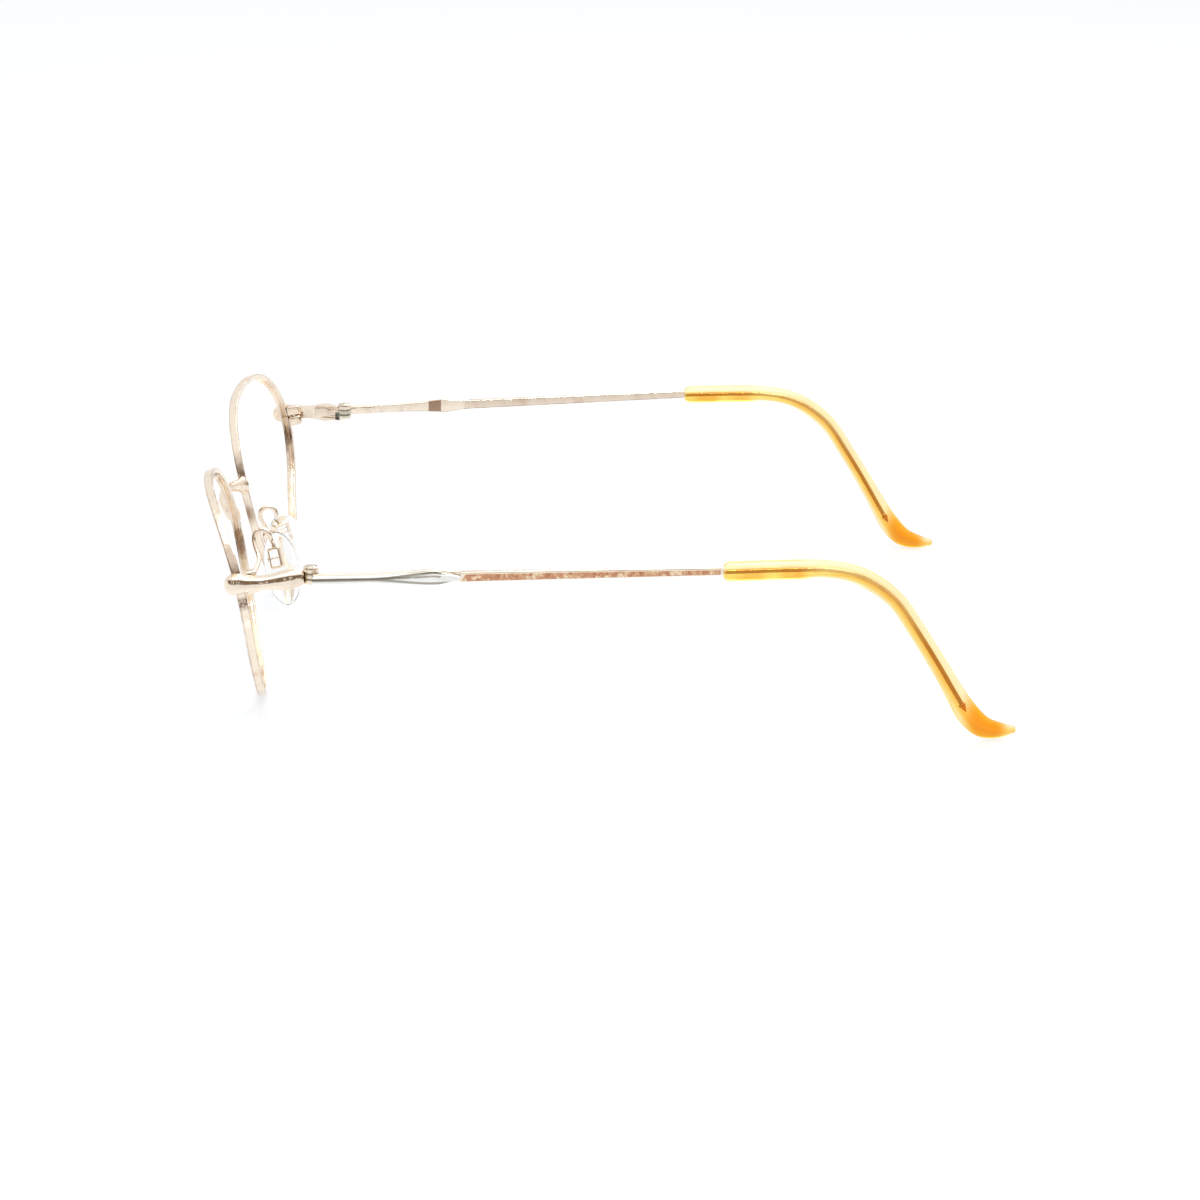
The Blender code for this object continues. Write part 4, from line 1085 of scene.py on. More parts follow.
def marks_at(turn, marks):
    """How strong the marks are at this angle round the rim."""
    degrees = math.degrees(turn)
    return sum(
        strength * swelling((degrees - middle + 180.0) % 360.0, 180.0, reach)
        for strength, middle, reach in marks
    )


def rim_painted_reflection(turn, u, v):
    """How dark the rim's painted reflection is: thin dark lines on its edges, and soft dark patches on
    its outer and inner walls.
    """
    edge = min(math.hypot(u, v), math.hypot(u, RIM_DEPTH - v))
    marks = 0.0
    if u > -RIM_WALL * 0.3:
        marks = marks_at(turn, OUTER_REFLECTIONS)
    if u < -RIM_WALL * 0.7:
        marks = marks_at(turn, INNER_REFLECTIONS)
    return max(marks, EDGE_REFLECTION * max(0.0, 1 - edge / EDGE_LINE))


def rim_solder(turn, u):
    """The burnt mark on the outside by the lock, and a smaller one where the pad arm leaves."""
    return marks_at(turn, LOCK_SOLDER if u > -RIM_WALL * 0.3 else ARM_SOLDER)


def rim_mesh():
    """A band with softened edges and a lens groove, open at the lock."""
    outline = rounded(
        [
            (0.0, 0.0, RIM_OUTER_ROUND),
            (0.0, EDGE_LINE, 0.0),
            (0.0, RIM_DEPTH - EDGE_LINE, 0.0),
            (0.0, RIM_DEPTH, RIM_OUTER_ROUND),
            (-EDGE_LINE, RIM_DEPTH, 0.0),
            (-RIM_WALL, RIM_DEPTH, RIM_INNER_ROUND),
            (-RIM_WALL, (RIM_DEPTH + GROOVE_WIDTH) / 2, GROOVE_ROUND),
            (-RIM_WALL + GROOVE_DEPTH, RIM_DEPTH / 2, 0.0),
            (-RIM_WALL, (RIM_DEPTH - GROOVE_WIDTH) / 2, GROOVE_ROUND),
            (-RIM_WALL, 0.0, RIM_INNER_ROUND),
            (-EDGE_LINE, 0.0, 0.0),
        ],
        3,
    )
    slit = LOCK_SLIT / 2 / (RIM_HALF_HEIGHT * math.cos(LOCK_ANGLE))
    start, end = LOCK_ANGLE + slit, LOCK_ANGLE + 2 * math.pi - slit
    turns = [between(start, end, i / RIM_STEPS) for i in range(RIM_STEPS + 1)]
    shape = bmesh.new()
    skin(shape, [[rim_place(turn, v, u) for u, v in outline] for turn in turns])
    # Painted reflections: dark lines along the rim's edges and dark patches on its walls
    paint(shape, "tarnish", [rim_painted_reflection(turn, u, v) for turn in turns for u, v in outline])
    paint(shape, "solder", [rim_solder(turn, u) for turn in turns for u, v in outline])
    return finished("rim", shape, 35.0)


def lock_frame():
    """The lock's middle, from the split and the back of the rim, in the lens's frame."""
    split = rim_outline(LOCK_ANGLE)
    back = lens_point(split, RIM_DEPTH).z - SEAT
    return Vector((split.x - LOCK_WIDTH / 2 - SEAT, split.y, back - LOCK_REACH / 2))


def lock_block(middle, height, side, edge, segments):
    """One half of the lock, above the split or below it."""
    place = middle + Vector((0.0, side * (LOCK_SLIT + height) / 2, 0.0))
    shape = bmesh.new()
    size = (LOCK_WIDTH, height, LOCK_REACH)
    soft_block(shape, size, LENS @ Matrix.Translation(place), edge, segments)
    return finished("lock", shape)


def lock_meshes():
    """The upper block, the lower barrel, and the screw that joins them."""
    middle = lock_frame()
    upper = lock_block(middle, UPPER_LOCK_HEIGHT, 1.0, UPPER_LOCK_ROUND, 4)
    lower = lock_block(middle, LOWER_LOCK_HEIGHT, -1.0, LOWER_LOCK_ROUND, 5)
    foot = LENS @ (middle - Vector((0.0, LOCK_SLIT / 2 + LOWER_LOCK_HEIGHT, 0.0)))
    down = LENS.to_3x3() @ Matrix.Rotation(math.pi / 2, 3, "X")
    seat = cylinder(
        LOCK_HEAD_RADIUS + LOCK_HEAD_ROOM,
        -LOCK_SEAT_REACH,
        LOCK_HEAD_HEIGHT,
        foot,
        down @ Matrix.Rotation(math.pi, 3, "X"),
        40,
    )
    screw = screw_mesh(
        foot,
        down,
        LOCK_HEAD_RADIUS,
        -LOCK_HEAD_HEIGHT,
        0.0,
        LOCK_SCREW_RADIUS,
        LOWER_LOCK_HEIGHT + LOCK_SLIT + UPPER_LOCK_HEIGHT - SEAT * 3,
    )
    return upper, carved(lower, [seat]), screw


def screw_mesh(centre, turn, head, low, high, shaft, reach, slot=0.0):
    """A slotted screw whose head runs from low to high along the turn's own Z, with its shaft below."""
    shape = bmesh.new()
    edge = head * 0.22
    profile = [(shaft * 0.7, high - reach), (shaft, high - reach + shaft * 0.3), (shaft, low)]
    profile += drum(head, low, high, edge)
    profile += [(head * 0.5, high + edge * 0.35)]
    turned(shape, profile, centre, turn, 36)
    cutter = bmesh.new()
    spin = Matrix.Rotation(slot, 4, "Z")
    place = Matrix.Translation(centre) @ turn.to_4x4() @ spin @ Matrix.Translation((0.0, 0.0, high))
    soft_block(cutter, (head * 4, head * 0.2, head * 0.3), place, head * 0.02, 1)
    return carved(finished("screw", shape), [finished("slot", cutter)])


def end_piece_mesh():
    """A bulb over the rim, a waist, and a second swelling that carries the hinge."""
    rows = []
    for share in BULB_SHARES:
        fall = share**2 * (1.0 if share < 0 else 0.3)
        high = 2 * BULB_RADIUS * math.sqrt(1.0 - fall)
        rows.append((BULB_Y + BULB_RADIUS * share, high, BULB_DEPTH * high / (2 * BULB_RADIUS)))
    neck_y = between(rows[-1][0], WAIST[0], NECK_PLACE)
    rows.append((neck_y, WAIST[1] * NECK_GROWTH, WAIST[2] * NECK_GROWTH))
    waist, bulge, end = (Vector(row) for row in (WAIST, BULGE, END))
    rows += [waist + (bulge - waist) * Vector(share) for share in WAIST_TO_BULGE]
    rows += [bulge + (end - bulge) * Vector(share) for share in BULGE_TO_END]
    rings = []
    for y, high, deep in smooth_route(rows, 4):
        share = (y - BULB_Y) / (END[0] - BULB_Y)
        z = between(BULB_Z, HINGE.z - END_DROP, share)
        centre = fold_point(end_inner(y), y, z)
        outline = side_outline(END_PROFILE, deep, high)
        rings.append([centre + Vector((u, 0.0, v)) for u, v in outline])
    shape = bmesh.new()
    skin(shape, rings)
    relief = cylinder(KNUCKLE_RADIUS + KNUCKLE_ROOM, -CUT, CUT, HINGE, UPRIGHT, 64)
    return carved(finished("end_piece", shape), [relief])


def bridge_mesh():
    """One bar over the nose with a plate that hugs each rim."""
    wall = rim_place(BRIDGE_ANGLE, RIM_DEPTH / 2)
    rows = [
        (wall.x * share, wall.y - BRIDGE_AHEAD + back, wall.z + BRIDGE_RISE - down, grown)
        for share, back, down, grown in BRIDGE_LINE
    ]
    fine = smooth_route(rows, 5)
    halves = []
    for i, row in enumerate(fine):
        ahead = fine[min(i + 1, len(fine) - 1)] - fine[max(i - 1, 0)]
        ahead = Vector((ahead.x, ahead.y if i else 0.0, 0.0)).normalized()
        forward = Vector((ahead.y, -ahead.x, 0.0))
        thick = between(BRIDGE_THICKNESS, BRIDGE_PLATE_DEPTH, row[3]) / 2
        high = between(BRIDGE_HEIGHT, BRIDGE_PLATE_HEIGHT, row[3]) / 2
        place = Vector(row[:3])
        outline = oval(thick, high, BRIDGE_SIDES)
        halves.append([place + forward * u + UP * v for u, v in outline])
    plate = []
    bulge = BRIDGE_PLATE_HEIGHT**2 / (8 * RIM_HALF_HEIGHT)
    turns = [math.radians(120 + i / 4) for i in range(480)]
    heights = [rim_place(turn, RIM_DEPTH / 2).z for turn in turns]
    for u, v in oval(BRIDGE_PLATE_DEPTH / 2, BRIDGE_PLATE_HEIGHT / 2, BRIDGE_SIDES):
        nearest = min(range(len(turns)), key=lambda i: abs(heights[i] - wall.z - v))
        plate.append(rim_place(turns[nearest], RIM_DEPTH / 2 - u, SEAT + bulge))
    halves.append([between(a, b, PLATE_EASE) for a, b in zip(halves[-1], plate)])
    halves.append(plate)
    flip = Vector((-1.0, 1.0, 1.0))
    others = [[point * flip for point in ring] for ring in halves[:0:-1]]
    shape = bmesh.new()
    skin(shape, [*others, *halves])
    return finished("bridge", shape, 50.0)


# Hinges


def end_lean():
    """The turn about upright of the end piece's inner face behind its bend."""
    return -math.atan2(HINGE.x - END_INSET - END_FRONT_X, END[0] - END_BEND_Y)


def knuckle(shape, number):
    """Adds one of the hinge's three knuckles, counted from the lowest."""
    low = (number - 1) * (KNUCKLE_HEIGHT + KNUCKLE_GAP) - KNUCKLE_HEIGHT / 2
    turned(shape, drum(KNUCKLE_RADIUS, low, low + KNUCKLE_HEIGHT, SOFT_EDGE), HINGE, UPRIGHT, 48)


def front_hinge_mesh():
    """The leaf on the end piece with the lowest and the highest knuckle."""
    length, height = FRONT_LEAF
    middle_y = -KNUCKLE_RADIUS / 3 - length / 2
    inner = end_inner(middle_y) - SEAT - LEAF_THICKNESS / 2
    place = fold_point(inner, middle_y, HINGE.z - LEAF_DROP)
    shape = bmesh.new()
    matrix = Matrix.Translation(place) @ Matrix.Rotation(end_lean(), 4, "Z")
    soft_block(shape, (LEAF_THICKNESS, length, height), matrix, SOFT_EDGE)
    knuckle(shape, 0)
    knuckle(shape, 2)
    seat = cylinder(HINGE_HEAD_RADIUS + SEAT, HINGE_TOP - HINGE_HEAD_HEIGHT, HINGE_TOP * 2, HINGE)
    half = KNUCKLE_HEIGHT / 2 + KNUCKLE_GAP
    room = cylinder(KNUCKLE_RADIUS + KNUCKLE_ROOM, -half, half, HINGE)
    return carved(finished("front_hinge", shape), [seat, room])


def temple_hinge_mesh():
    """The leaf on the temple with the middle knuckle."""
    length, height = TEMPLE_LEAF
    middle = temple_place(LEAF_START + length / 2)
    step = temple_place(TIP_START) - temple_place(TEMPLE_START)
    lean = Euler((math.atan2(step.z, step.y), 0.0, -math.atan2(step.x, step.y))).to_matrix().to_4x4()
    place = middle - Vector((SEAT + LEAF_THICKNESS / 2, 0.0, 0.0))
    shape = bmesh.new()
    soft_block(shape, (LEAF_THICKNESS, length, height), Matrix.Translation(place) @ lean, SOFT_EDGE)
    tongue_length = LEAF_START + LEAF_THICKNESS
    tongue = HINGE + Vector(
        (TEMPLE_INSET - SEAT - LEAF_THICKNESS / 2, tongue_length / 2 + KNUCKLE_RADIUS / 5, 0.0)
    )
    size = (LEAF_THICKNESS, tongue_length, KNUCKLE_HEIGHT - 2 * KNUCKLE_GAP)
    soft_block(shape, size, Matrix.Translation(tongue), TONGUE_EDGE, 2)
    knuckle(shape, 1)
    return finished("temple_hinge", shape)


def hinge_screw_mesh():
    """The upright screw through the knuckles, its head sunk in the highest one."""
    return screw_mesh(
        HINGE,
        UPRIGHT,
        HINGE_HEAD_RADIUS,
        HINGE_TOP - HINGE_HEAD_HEIGHT,
        HINGE_TOP + HINGE_HEAD_PROUD,
        HINGE_SCREW_RADIUS,
        2 * HINGE_TOP,
        HINGE_SLOT_TURN,
    )


# Temples


def bar_mesh():
    """A flat bar with a flare, which goes on as the wire in the tip and ends in a barb."""
    step, end = OVERLAY_END + SEAT, TIP_START - SEAT
    front = [between(TEMPLE_START, step, i / BAR_FRONT_STEPS) for i in range(BAR_FRONT_STEPS + 1)]
    back = [between(step, end, i / BAR_BACK_STEPS) for i in range(1, BAR_BACK_STEPS + 1)]
    rows = [(y, BAR_BACK_THICKNESS) for y in front]
    rows += [(y, bar_outer(y)) for y in (step + 2 * SEAT, *back)]
    rings = []
    for y, thick in rows:
        outline = block_outline(0.0, thick, bar_height(y), BAR_ROUND)
        rings.append([temple_place(y) + Vector((u, 0.0, v)) for u, v in outline])
    route = smooth_route([row[:3] for row in tip_rows()], 6)
    core = [place for place in route if place.y - HINGE.y < WIRE_END]
    for i, place in enumerate(core):
        along = route[i + 1] - route[max(i - 1, 0)]
        outline = block_outline(-WIRE_RADIUS, WIRE_RADIUS, 2 * WIRE_RADIUS, WIRE_RADIUS * 0.9)
        rings.append(across_line(place, along, outline))
    along = (core[-1] - core[-2]).normalized()
    for ahead, wide in ((BARB_SHOULDER, BARB_RADIUS), (BARB_LENGTH, BARB_POINT)):
        outline = block_outline(-wide, wide, 2 * wide, wide * 0.9)
        rings.append(across_line(core[-1] + along * ahead, along, outline))
    shape = bmesh.new()
    skin(shape, rings)
    corners = len(rings[0])
    # Painted reflection: a dark line along the bar's lower inner edge
    lower_edge_reflection = [0.0] * len(shape.verts)
    for i in range(len(rows)):
        for j in range(corners * 3 // 4 + 1, corners):
            lower_edge_reflection[i * corners + j] = EDGE_REFLECTION
    paint(shape, "tarnish", lower_edge_reflection)
    paint(shape, "inner", [float(i % corners >= corners // 2) for i in range(len(shape.verts))])
    return finished("temple_bar", shape, 50.0)


def overlay_mesh():
    """A half-round strip that flares and ends in a scooped leaf."""
    start = BAR_BACK_THICKNESS + SEAT
    rings = []
    for i in range(OVERLAY_STEPS + 1):
        y = between(TEMPLE_START, OVERLAY_END, i / OVERLAY_STEPS)
        flare = (bar_height(y) - BAR_HEIGHT) / (FLARE_HEIGHT - BAR_HEIGHT)
        high = between(OVERLAY_HEIGHT, OVERLAY_FLARE_HEIGHT, flare)
        point = max(0.0, (y - FLARE_Y) / (OVERLAY_END - FLARE_Y))
        high *= 1 - OVERLAY_POINT * point**2.5
        place = temple_place(y) - UP * OVERLAY_DROP
        outline = side_outline(OVERLAY_PROFILE, OVERLAY_THICKNESS, high, FLUTE_DEPTH * flare**1.5)
        rings.append([place + Vector((start + u, 0.0, v)) for u, v in outline])
    shape = bmesh.new()
    skin(shape, soft_ends(rings, SOFT_EDGE))
    face = temple_place(OVERLAY_END).x + BAR_BACK_THICKNESS
    middle = Vector((face + SCOOP_LEFT + SCOOP_RADIUS, HINGE.y + SCOOP_Y, HINGE.z))
    scoop = cylinder(SCOOP_RADIUS, -CUT, 2 * CUT, middle, UPRIGHT, 180, 20.0)
    return carved(finished("overlay", shape), [scoop], 22.0)


def inlay_mesh():
    """A strip of enamel with a faintly crowned face."""
    rings = []
    for i in range(INLAY_STEPS + 1):
        y = between(INLAY_START, INLAY_END, i / INLAY_STEPS)
        high = between(INLAY_HEIGHT, INLAY_END_HEIGHT, i / INLAY_STEPS)
        outer = bar_outer(y)
        corners = [
            (outer + INLAY_PROUD, -high / 2, INLAY_ROUND),
            (outer + INLAY_CROWN, 0.0, 0.0),
            (outer + INLAY_PROUD, high / 2, INLAY_ROUND),
            (outer - INLAY_DEPTH, high / 2, 0.0),
            (outer - INLAY_DEPTH, -high / 2, 0.0),
        ]
        place = temple_place(y) - UP * INLAY_DROP
        slant = INLAY_SLANT * max(0.0, 1 - i / 3)
        rings.append([place + Vector((u, slant * v / high, v)) for u, v in rounded(corners)])
    shape = bmesh.new()
    skin(shape, soft_ends(rings, INLAY_ROUND))
    return finished("inlay", shape, 50.0)


def tip_mesh():
    """The plastic sleeve, rounded at its mouth and deepest at its toe."""
    rows = smooth_route(tip_rows(), 8)
    step = (rows[1] - rows[0]) * (MOUTH_ROUND / (rows[1] - rows[0]).length)
    mouth = []
    for share in MOUTH_STEPS:
        row = rows[0] + step * share
        for place in (3, 4):
            row[place] *= math.sqrt(1 - (1 - MOUTH_SHARE**2) * (1 - share) ** 2)
        mouth.append(row)
    rows = [*mouth, *rows[2:]]
    rings = []
    for i, row in enumerate(rows):
        ahead = rows[min(i + 1, len(rows) - 1)] - rows[max(i - 1, 0)]
        outline = oval(row[4] / 2, row[3] / 2, TIP_SIDES)
        rings.append(across_line(Vector(row[:3]), Vector(ahead[:3]), outline))
    rings += soft_end(rings[-2], rings[-1], TOE_ROUND)
    shape = bmesh.new()
    skin(shape, rings)
    heights = [math.sin(2 * math.pi * side / TIP_SIDES) for side in range(TIP_SIDES)]
    paint(shape, "crown", heights * len(rings))
    return finished("tip", shape, 60.0)


# Nose pads


def tube(shape, route, radius, steps=20):
    """Adds a round wire along the route."""
    rings = []
    side = None
    for i, place in enumerate(route):
        along = (route[min(i + 1, len(route) - 1)] - route[max(i - 1, 0)]).normalized()
        if side is None:
            side = along.cross(UP).normalized()
        side = (side - along * side.dot(along)).normalized()
        other = along.cross(side)
        rings.append([place + side * u + other * v for u, v in oval(radius, radius, steps)])
    skin(shape, soft_ends(rings, radius * 0.25))


def arm_mesh():
    """A wire from the rim that crooks over to the top of the box."""
    behind = RIM_DEPTH + ARM_RADIUS + 3 * SEAT
    foot = rim_place(ARM_FOOT_ANGLE, behind, -RIM_WALL / 2)
    leave = rim_place(ARM_LEAVE_ANGLE, behind, -RIM_WALL / 2)
    up = pad_turn() @ UP
    top = PAD_PIVOT + up * (BOX_HEIGHT / 2 + SEAT)
    points = [
        foot,
        between(foot, leave, 0.5) + Vector((0.0, 2 * SEAT, 0.0)),
        leave + Vector((-ARM_RADIUS, ARM_RADIUS, 0.0)) / 2,
        *(top + Vector(offset) for offset in ARM_CROOK),
        top + up * ARM_DROP - Vector((0.0, ARM_RADIUS / 2, 0.0)),
        top + up * ARM_DROP / 2,
        top,
    ]
    shape = bmesh.new()
    tube(shape, smooth_route(points, 8), ARM_RADIUS)
    return finished("pad_arm", shape, 60.0)


def box_mesh():
    """A rectangular ring with rounded corners."""
    turn = Matrix.Translation(PAD_PIVOT) @ pad_turn().to_4x4()
    edge = SOFT_EDGE
    rings = []
    for inset, deep in (
        (edge, -1.0), (edge * 0.3, -0.92), (0.0, -0.8), (0.0, 0.8), (edge * 0.3, 0.92), (edge, 1.0),
        (BOX_WALL - edge, 1.0), (BOX_WALL, 0.9), (BOX_WALL, -0.9), (BOX_WALL - edge, -1.0),
    ):
        width, height = BOX_WIDTH / 2 - inset, BOX_HEIGHT / 2 - inset
        radius = BOX_CORNER - inset * 0.6
        corners = [(width, -height), (width, height), (-width, height), (-width, -height)]
        outline = rounded([(y, z, radius) for y, z in corners], 6)
        rings.append([turn @ Vector((BOX_DEPTH / 2 * deep, y, z)) for y, z in outline])
    shape = bmesh.new()
    skin(shape, rings, closed=True)
    return finished("pad_box", shape, 50.0)


def pad_mesh():
    """A domed oval, flatter on the side of its box, with the boss that its screw holds."""
    turn = Matrix.Translation(PAD_PIVOT) @ pad_turn().to_4x4()
    middle = -(BOX_DEPTH / 2 + PAD_STANDOFF + PAD_BACK)
    shape = bmesh.new()
    rings = []
    for i in range(1, PAD_RINGS):
        polar = math.pi * i / PAD_RINGS
        deep = math.cos(polar)
        spread = math.sin(polar) ** PAD_FULLNESS
        side = middle + (PAD_BACK if deep > 0 else PAD_DOME) * deep
        outline = oval(PAD_WIDTH / 2 * spread, PAD_HEIGHT / 2 * spread, PAD_SIDES)
        rings.append([turn @ Vector((side, y - PAD_FORWARD, z - PAD_DROP)) for y, z in outline])
    skin(shape, rings)
    boss_end = BOX_DEPTH / 2
    centre = Matrix.Translation(((middle + boss_end) / 2, 0.0, 0.0))
    boss = bmesh.new()
    soft_block(boss, (boss_end - middle, BOSS_WIDTH, BOSS_HEIGHT), turn @ centre, BOSS_ROUND)
    return combined(finished("nose_pad", shape, 60.0), [finished("boss", boss)], "UNION", 50.0)


def pad_screw_mesh():
    """The thin cross screw through the box and the pad's boss."""
    turn = pad_turn()
    return screw_mesh(
        PAD_PIVOT + turn @ Vector((0.0, -BOX_WIDTH / 2 - SEAT, 0.0)),
        turn @ Matrix.Rotation(math.pi / 2, 3, "X"),
        PAD_HEAD_RADIUS,
        0.0,
        PAD_HEAD_HEIGHT,
        PAD_SCREW_RADIUS,
        BOX_WIDTH + SEAT + PAD_HEAD_HEIGHT,
        PAD_SLOT_TURN,
    )


# The add-on


class FrameFinish(bpy.types.PropertyGroup):
    """Colours and polish of the frame."""

    gold: FloatVectorProperty(
        name="Gold", description="Colour of the plating", subtype="COLOR", default=(0.93, 0.81, 0.67)
    )
    stain: FloatVectorProperty(
        name="Stain", description="Colour where the plating is dull", subtype="COLOR",
        default=(0.66, 0.48, 0.34),
    )
    # Colour of the painted reflections: dark lines and patches on the gold
    tarnish: FloatVectorProperty(
        name="Painted_reflection", description="Colour along the edges and by the joints", subtype="COLOR",
        default=(0.38, 0.25, 0.17),
    )
    solder: FloatVectorProperty(
        name="Solder", description="Colour of the solder marks", subtype="COLOR",
        default=(0.20, 0.12, 0.08),
    )
    wire: FloatVectorProperty(
        name="Wire", description="Colour of the wire inside the tips", subtype="COLOR",
        default=(0.52, 0.29, 0.09),
    )
    silver: FloatVectorProperty(
        name="Silver", description="Colour of the overlays", subtype="COLOR", default=(0.88, 0.87, 0.84)
    )
    amber: FloatVectorProperty(
        name="Amber", description="Colour of the tips where they are pale", subtype="COLOR",
        default=(1.0, 0.80, 0.24),
    )
    orange: FloatVectorProperty(
        name="Orange", description="Colour of the tips where they are deep", subtype="COLOR",
        default=(0.96, 0.42, 0.03),
    )
    amber_depth: FloatProperty(
        name="Amber depth", description="How fast the amber deepens with its thickness",
        default=220.0, min=0.0,
    )
    polish: FloatProperty(
        name="Polish", description="Roughness of the polished gold", default=0.13, min=0.0, max=1.0
    )


class FrameStage(bpy.types.PropertyGroup):
    """Sizes and levels of the table and the light."""

    table_width: FloatProperty(
        name="Table width", description="Side of the square table", default=6.0, unit="LENGTH"
    )
    sky: FloatProperty(
        name="Sky", description="Brightness of the room on the frame", default=0.9, min=0.0
    )
    lamp: FloatProperty(
        name="Lamp", description="Power of the lamp overhead", default=3.0, unit="POWER"
    )


class EYEGLASS_OT_rims(bpy.types.Operator):
    """Sweep the grooved bands round both lenses"""

    bl_idname = "eyeglass.rims"
    bl_label = "Rims"

    def execute(self, context):
        show_pair("rim", rim_mesh(), "front", "gold")
        return {"FINISHED"}


class EYEGLASS_OT_locks(bpy.types.Operator):
    """Add the blocks and screws that close the rims"""

    bl_idname = "eyeglass.locks"
    bl_label = "Rim locks"

    def execute(self, context):
        upper, lower, screw = lock_meshes()
        show_pair("lock_upper", upper, "front", "gold")
        show_pair("lock_lower", lower, "front", "gold")
        show_pair("lock_screw", screw, "front", "steel")
        return {"FINISHED"}


class EYEGLASS_OT_end_pieces(bpy.types.Operator):
    """Loft the end pieces from the rims to the hinges"""

    bl_idname = "eyeglass.end_pieces"
    bl_label = "End pieces"

    def execute(self, context):
        show_pair("end_piece", end_piece_mesh(), "front", "gold")
        return {"FINISHED"}


class EYEGLASS_OT_bridge(bpy.types.Operator):
    """Loft the bridge over the nose"""

    bl_idname = "eyeglass.bridge"
    bl_label = "Bridge"

    def execute(self, context):
        show("bridge", bridge_mesh(), "front", "gold")
        return {"FINISHED"}


class EYEGLASS_OT_hinges(bpy.types.Operator):
    """Add the hinge leaves, knuckles and screws"""

    bl_idname = "eyeglass.hinges"
    bl_label = "Hinges"

    def execute(self, context):
        show_pair("front_hinge", front_hinge_mesh(), "front", "gold")
        show_pair("temple_hinge", temple_hinge_mesh(), "side_temple", "gold")
        show_pair("hinge_screw", hinge_screw_mesh(), "front", "steel")
        return {"FINISHED"}


class EYEGLASS_OT_temples(bpy.types.Operator):
    """Loft the temple bars with their overlays and inlays"""

    bl_idname = "eyeglass.temples"
    bl_label = "Temples"

    def execute(self, context):
        show_pair("temple_bar", bar_mesh(), "side_temple", "gold")
        show_pair("temple_overlay", overlay_mesh(), "side_temple", "silver")
        show_pair("temple_inlay", inlay_mesh(), "side_temple", "marble")
        return {"FINISHED"}


class EYEGLASS_OT_tips(bpy.types.Operator):
    """Loft the amber tips over the wires"""

    bl_idname = "eyeglass.tips"
    bl_label = "Temple tips"

    def execute(self, context):
        show_pair("temple_tip", tip_mesh(), "side_temple", "amber")
        return {"FINISHED"}


class EYEGLASS_OT_pads(bpy.types.Operator):
    """Add the pad arms, boxes, screws and clear pads"""

    bl_idname = "eyeglass.pads"
    bl_label = "Nose pads"

    def execute(self, context):
        show_pair("pad_arm", arm_mesh(), "front", "gold")
        show_pair("pad_box", box_mesh(), "front", "gold")
        show_pair("pad_screw", pad_screw_mesh(), "front", "gold")
        show_pair("nose_pad", pad_mesh(), "side_pad", "clear")
        return {"FINISHED"}


def room_light(strength):
    """A plain white room."""
    world = bpy.data.worlds.new("white_room")
    bpy.context.scene.world = world
    world.use_nodes = True
    world.node_tree.nodes.clear()
    made = Graph(world.node_tree)
    room = made.node("ShaderNodeBackground", Color=WHITE, Strength=strength)
    seen = made.node("ShaderNodeBackground", Color=WHITE, Strength=1.0)
    output = made.tree.nodes.new("ShaderNodeOutputWorld")
    made.feed(output.inputs, "Surface", made.where_seen(seen, room))


def table_finish():
    """White gloss that stays just off white where it is seen, and keeps the frame's shadow."""
    made = Finish("white_table")
    made.set(Base_Color=(0.93, 0.95, 0.97), Roughness=0.06, IOR=1.5)
    plain = Field(made.tree, made.shader.outputs[0])
    glow = made.node("ShaderNodeEmission", Color=(0.965, 0.98, 1.0), Strength=1.0)
    lifted = made.node("ShaderNodeMixShader", i0=TABLE_GLOW, i1=plain, i2=glow)
    made.feed(made.output.inputs, "Surface", made.where_seen(lifted, plain))
    return made.material


def screen_finish():
    """Cloth with bright spots for the metal to mirror, white at its top and for rays from the table."""
    made = Finish("dark_screen")
    side = made.level(made.axis("X"), *SCREEN_FADE)
    top = made.level(made.axis("Z"), *SCREEN_TOP)
    layers = [(side, BROWN_CLOTH), (top, WHITE)]
    for degrees in SPOT_TURNS:
        turn = math.radians(degrees)
        spot = Vector((SCREEN_RADIUS * math.cos(turn), SCREEN_RADIUS * math.sin(turn), SPOT_HEIGHT))
        layers.append((made.level(made.away_from(made.place, spot), *SPOT_EDGE), WHITE))
    length = made.node("ShaderNodeLightPath", output="Ray Length")
    layers.append((made.level(length, *TABLE_RAYS), WHITE))
    glow = made.node("ShaderNodeEmission", Color=made.layered(PALE_CLOTH, layers), Strength=1.0)
    made.feed(made.output.inputs, "Surface", glow)
    return made.material


def screen_mesh():
    """A round wall without a top, as a skin of narrow upright strips."""
    circle = oval(SCREEN_RADIUS, SCREEN_RADIUS, SCREEN_SIDES)
    shape = bmesh.new()
    rings = [[(x, y, height) for x, y in circle] for height in (SCREEN_FOOT, SCREEN_HEIGHT)]
    skin(shape, rings, start=False, end=False)
    return finished("screen", shape)


def table_mesh(width):
    """A flat square."""
    shape = bmesh.new()
    bmesh.ops.create_grid(shape, x_segments=8, y_segments=8, size=width / 2)
    return finished("table", shape)


def hang_lamps(power):
    """The lamps, each turned to the frame."""
    for name, place, size, share in LAMPS:
        data = bpy.data.lights.new(name, "AREA")
        data.shape = "SQUARE"
        data.size = size
        data.energy = power * share
        lamp = linked(name, data)
        lamp.location = place
        lamp.rotation_euler = (-Vector(place)).to_track_quat("-Z", "Y").to_euler()


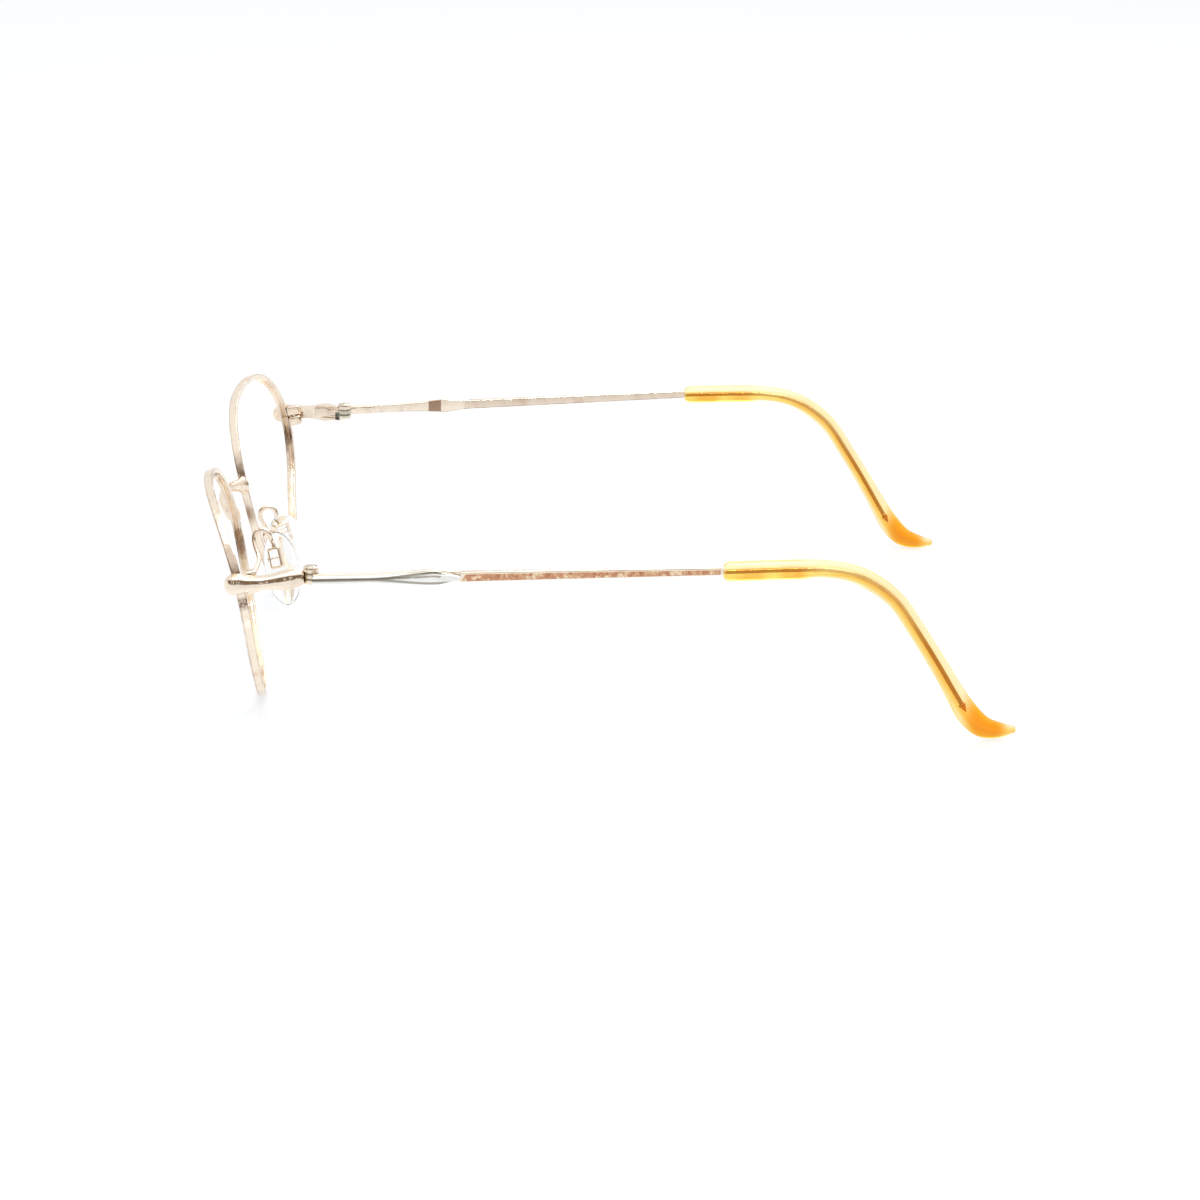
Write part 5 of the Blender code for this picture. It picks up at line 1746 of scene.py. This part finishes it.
def set_camera(scene):
    """The photograph's camera."""
    data = bpy.data.cameras.new("camera")
    data.lens = CAMERA_LENS
    data.sensor_width = CAMERA_SENSOR
    data.clip_start = 0.01
    camera = linked("camera", data)
    camera.location = fold_point(*CAMERA_PLACE)
    camera.rotation_euler = [math.radians(angle) for angle in CAMERA_TURN]
    scene.camera = camera


class EYEGLASS_OT_stage(bpy.types.Operator):
    """Lay the white table, light it and set the camera"""

    bl_idname = "eyeglass.stage"
    bl_label = "Table, light and camera"

    def execute(self, context):
        scene = context.scene
        stage = scene.frame_stage
        table = linked("table", table_mesh(stage.table_width))
        table.data.materials.append(table_finish())
        screen = linked("screen", screen_mesh())
        screen.data.materials.append(screen_finish())
        screen.visible_camera = False
        screen.visible_diffuse = False
        screen.visible_transmission = False
        screen.visible_shadow = False
        room_light(stage.sky)
        hang_lamps(stage.lamp)
        set_camera(scene)
        scene.view_settings.view_transform = "Standard"
        return {"FINISHED"}


PIECES = (
    EYEGLASS_OT_rims,
    EYEGLASS_OT_locks,
    EYEGLASS_OT_end_pieces,
    EYEGLASS_OT_bridge,
    EYEGLASS_OT_hinges,
    EYEGLASS_OT_temples,
    EYEGLASS_OT_tips,
    EYEGLASS_OT_pads,
    EYEGLASS_OT_stage,
)


class EYEGLASS_PT_panel(bpy.types.Panel):
    """Lists the finishes and the pieces"""

    bl_label = "Eyeglass Frame"
    bl_idname = "EYEGLASS_PT_panel"
    bl_space_type = "VIEW_3D"
    bl_region_type = "UI"
    bl_category = "Eyeglass Frame"

    def draw(self, context):
        column = self.layout.column()
        for group in (context.scene.frame_finish, context.scene.frame_stage):
            for name in group.__annotations__:
                column.prop(group, name)
        for piece in PIECES:
            column.operator(piece.bl_idname)


CLASSES = (FrameFinish, FrameStage, *PIECES, EYEGLASS_PT_panel)


def register():
    for kind in CLASSES:
        bpy.utils.register_class(kind)
    bpy.types.Scene.frame_finish = PointerProperty(type=FrameFinish)
    bpy.types.Scene.frame_stage = PointerProperty(type=FrameStage)


def unregister():
    del bpy.types.Scene.frame_stage
    del bpy.types.Scene.frame_finish
    for kind in reversed(CLASSES):
        bpy.utils.unregister_class(kind)


def main():
    register()
    for piece in PIECES:
        group, name = piece.bl_idname.split(".")
        getattr(getattr(bpy.ops, group), name)()


if __name__ == "__main__":
    main()
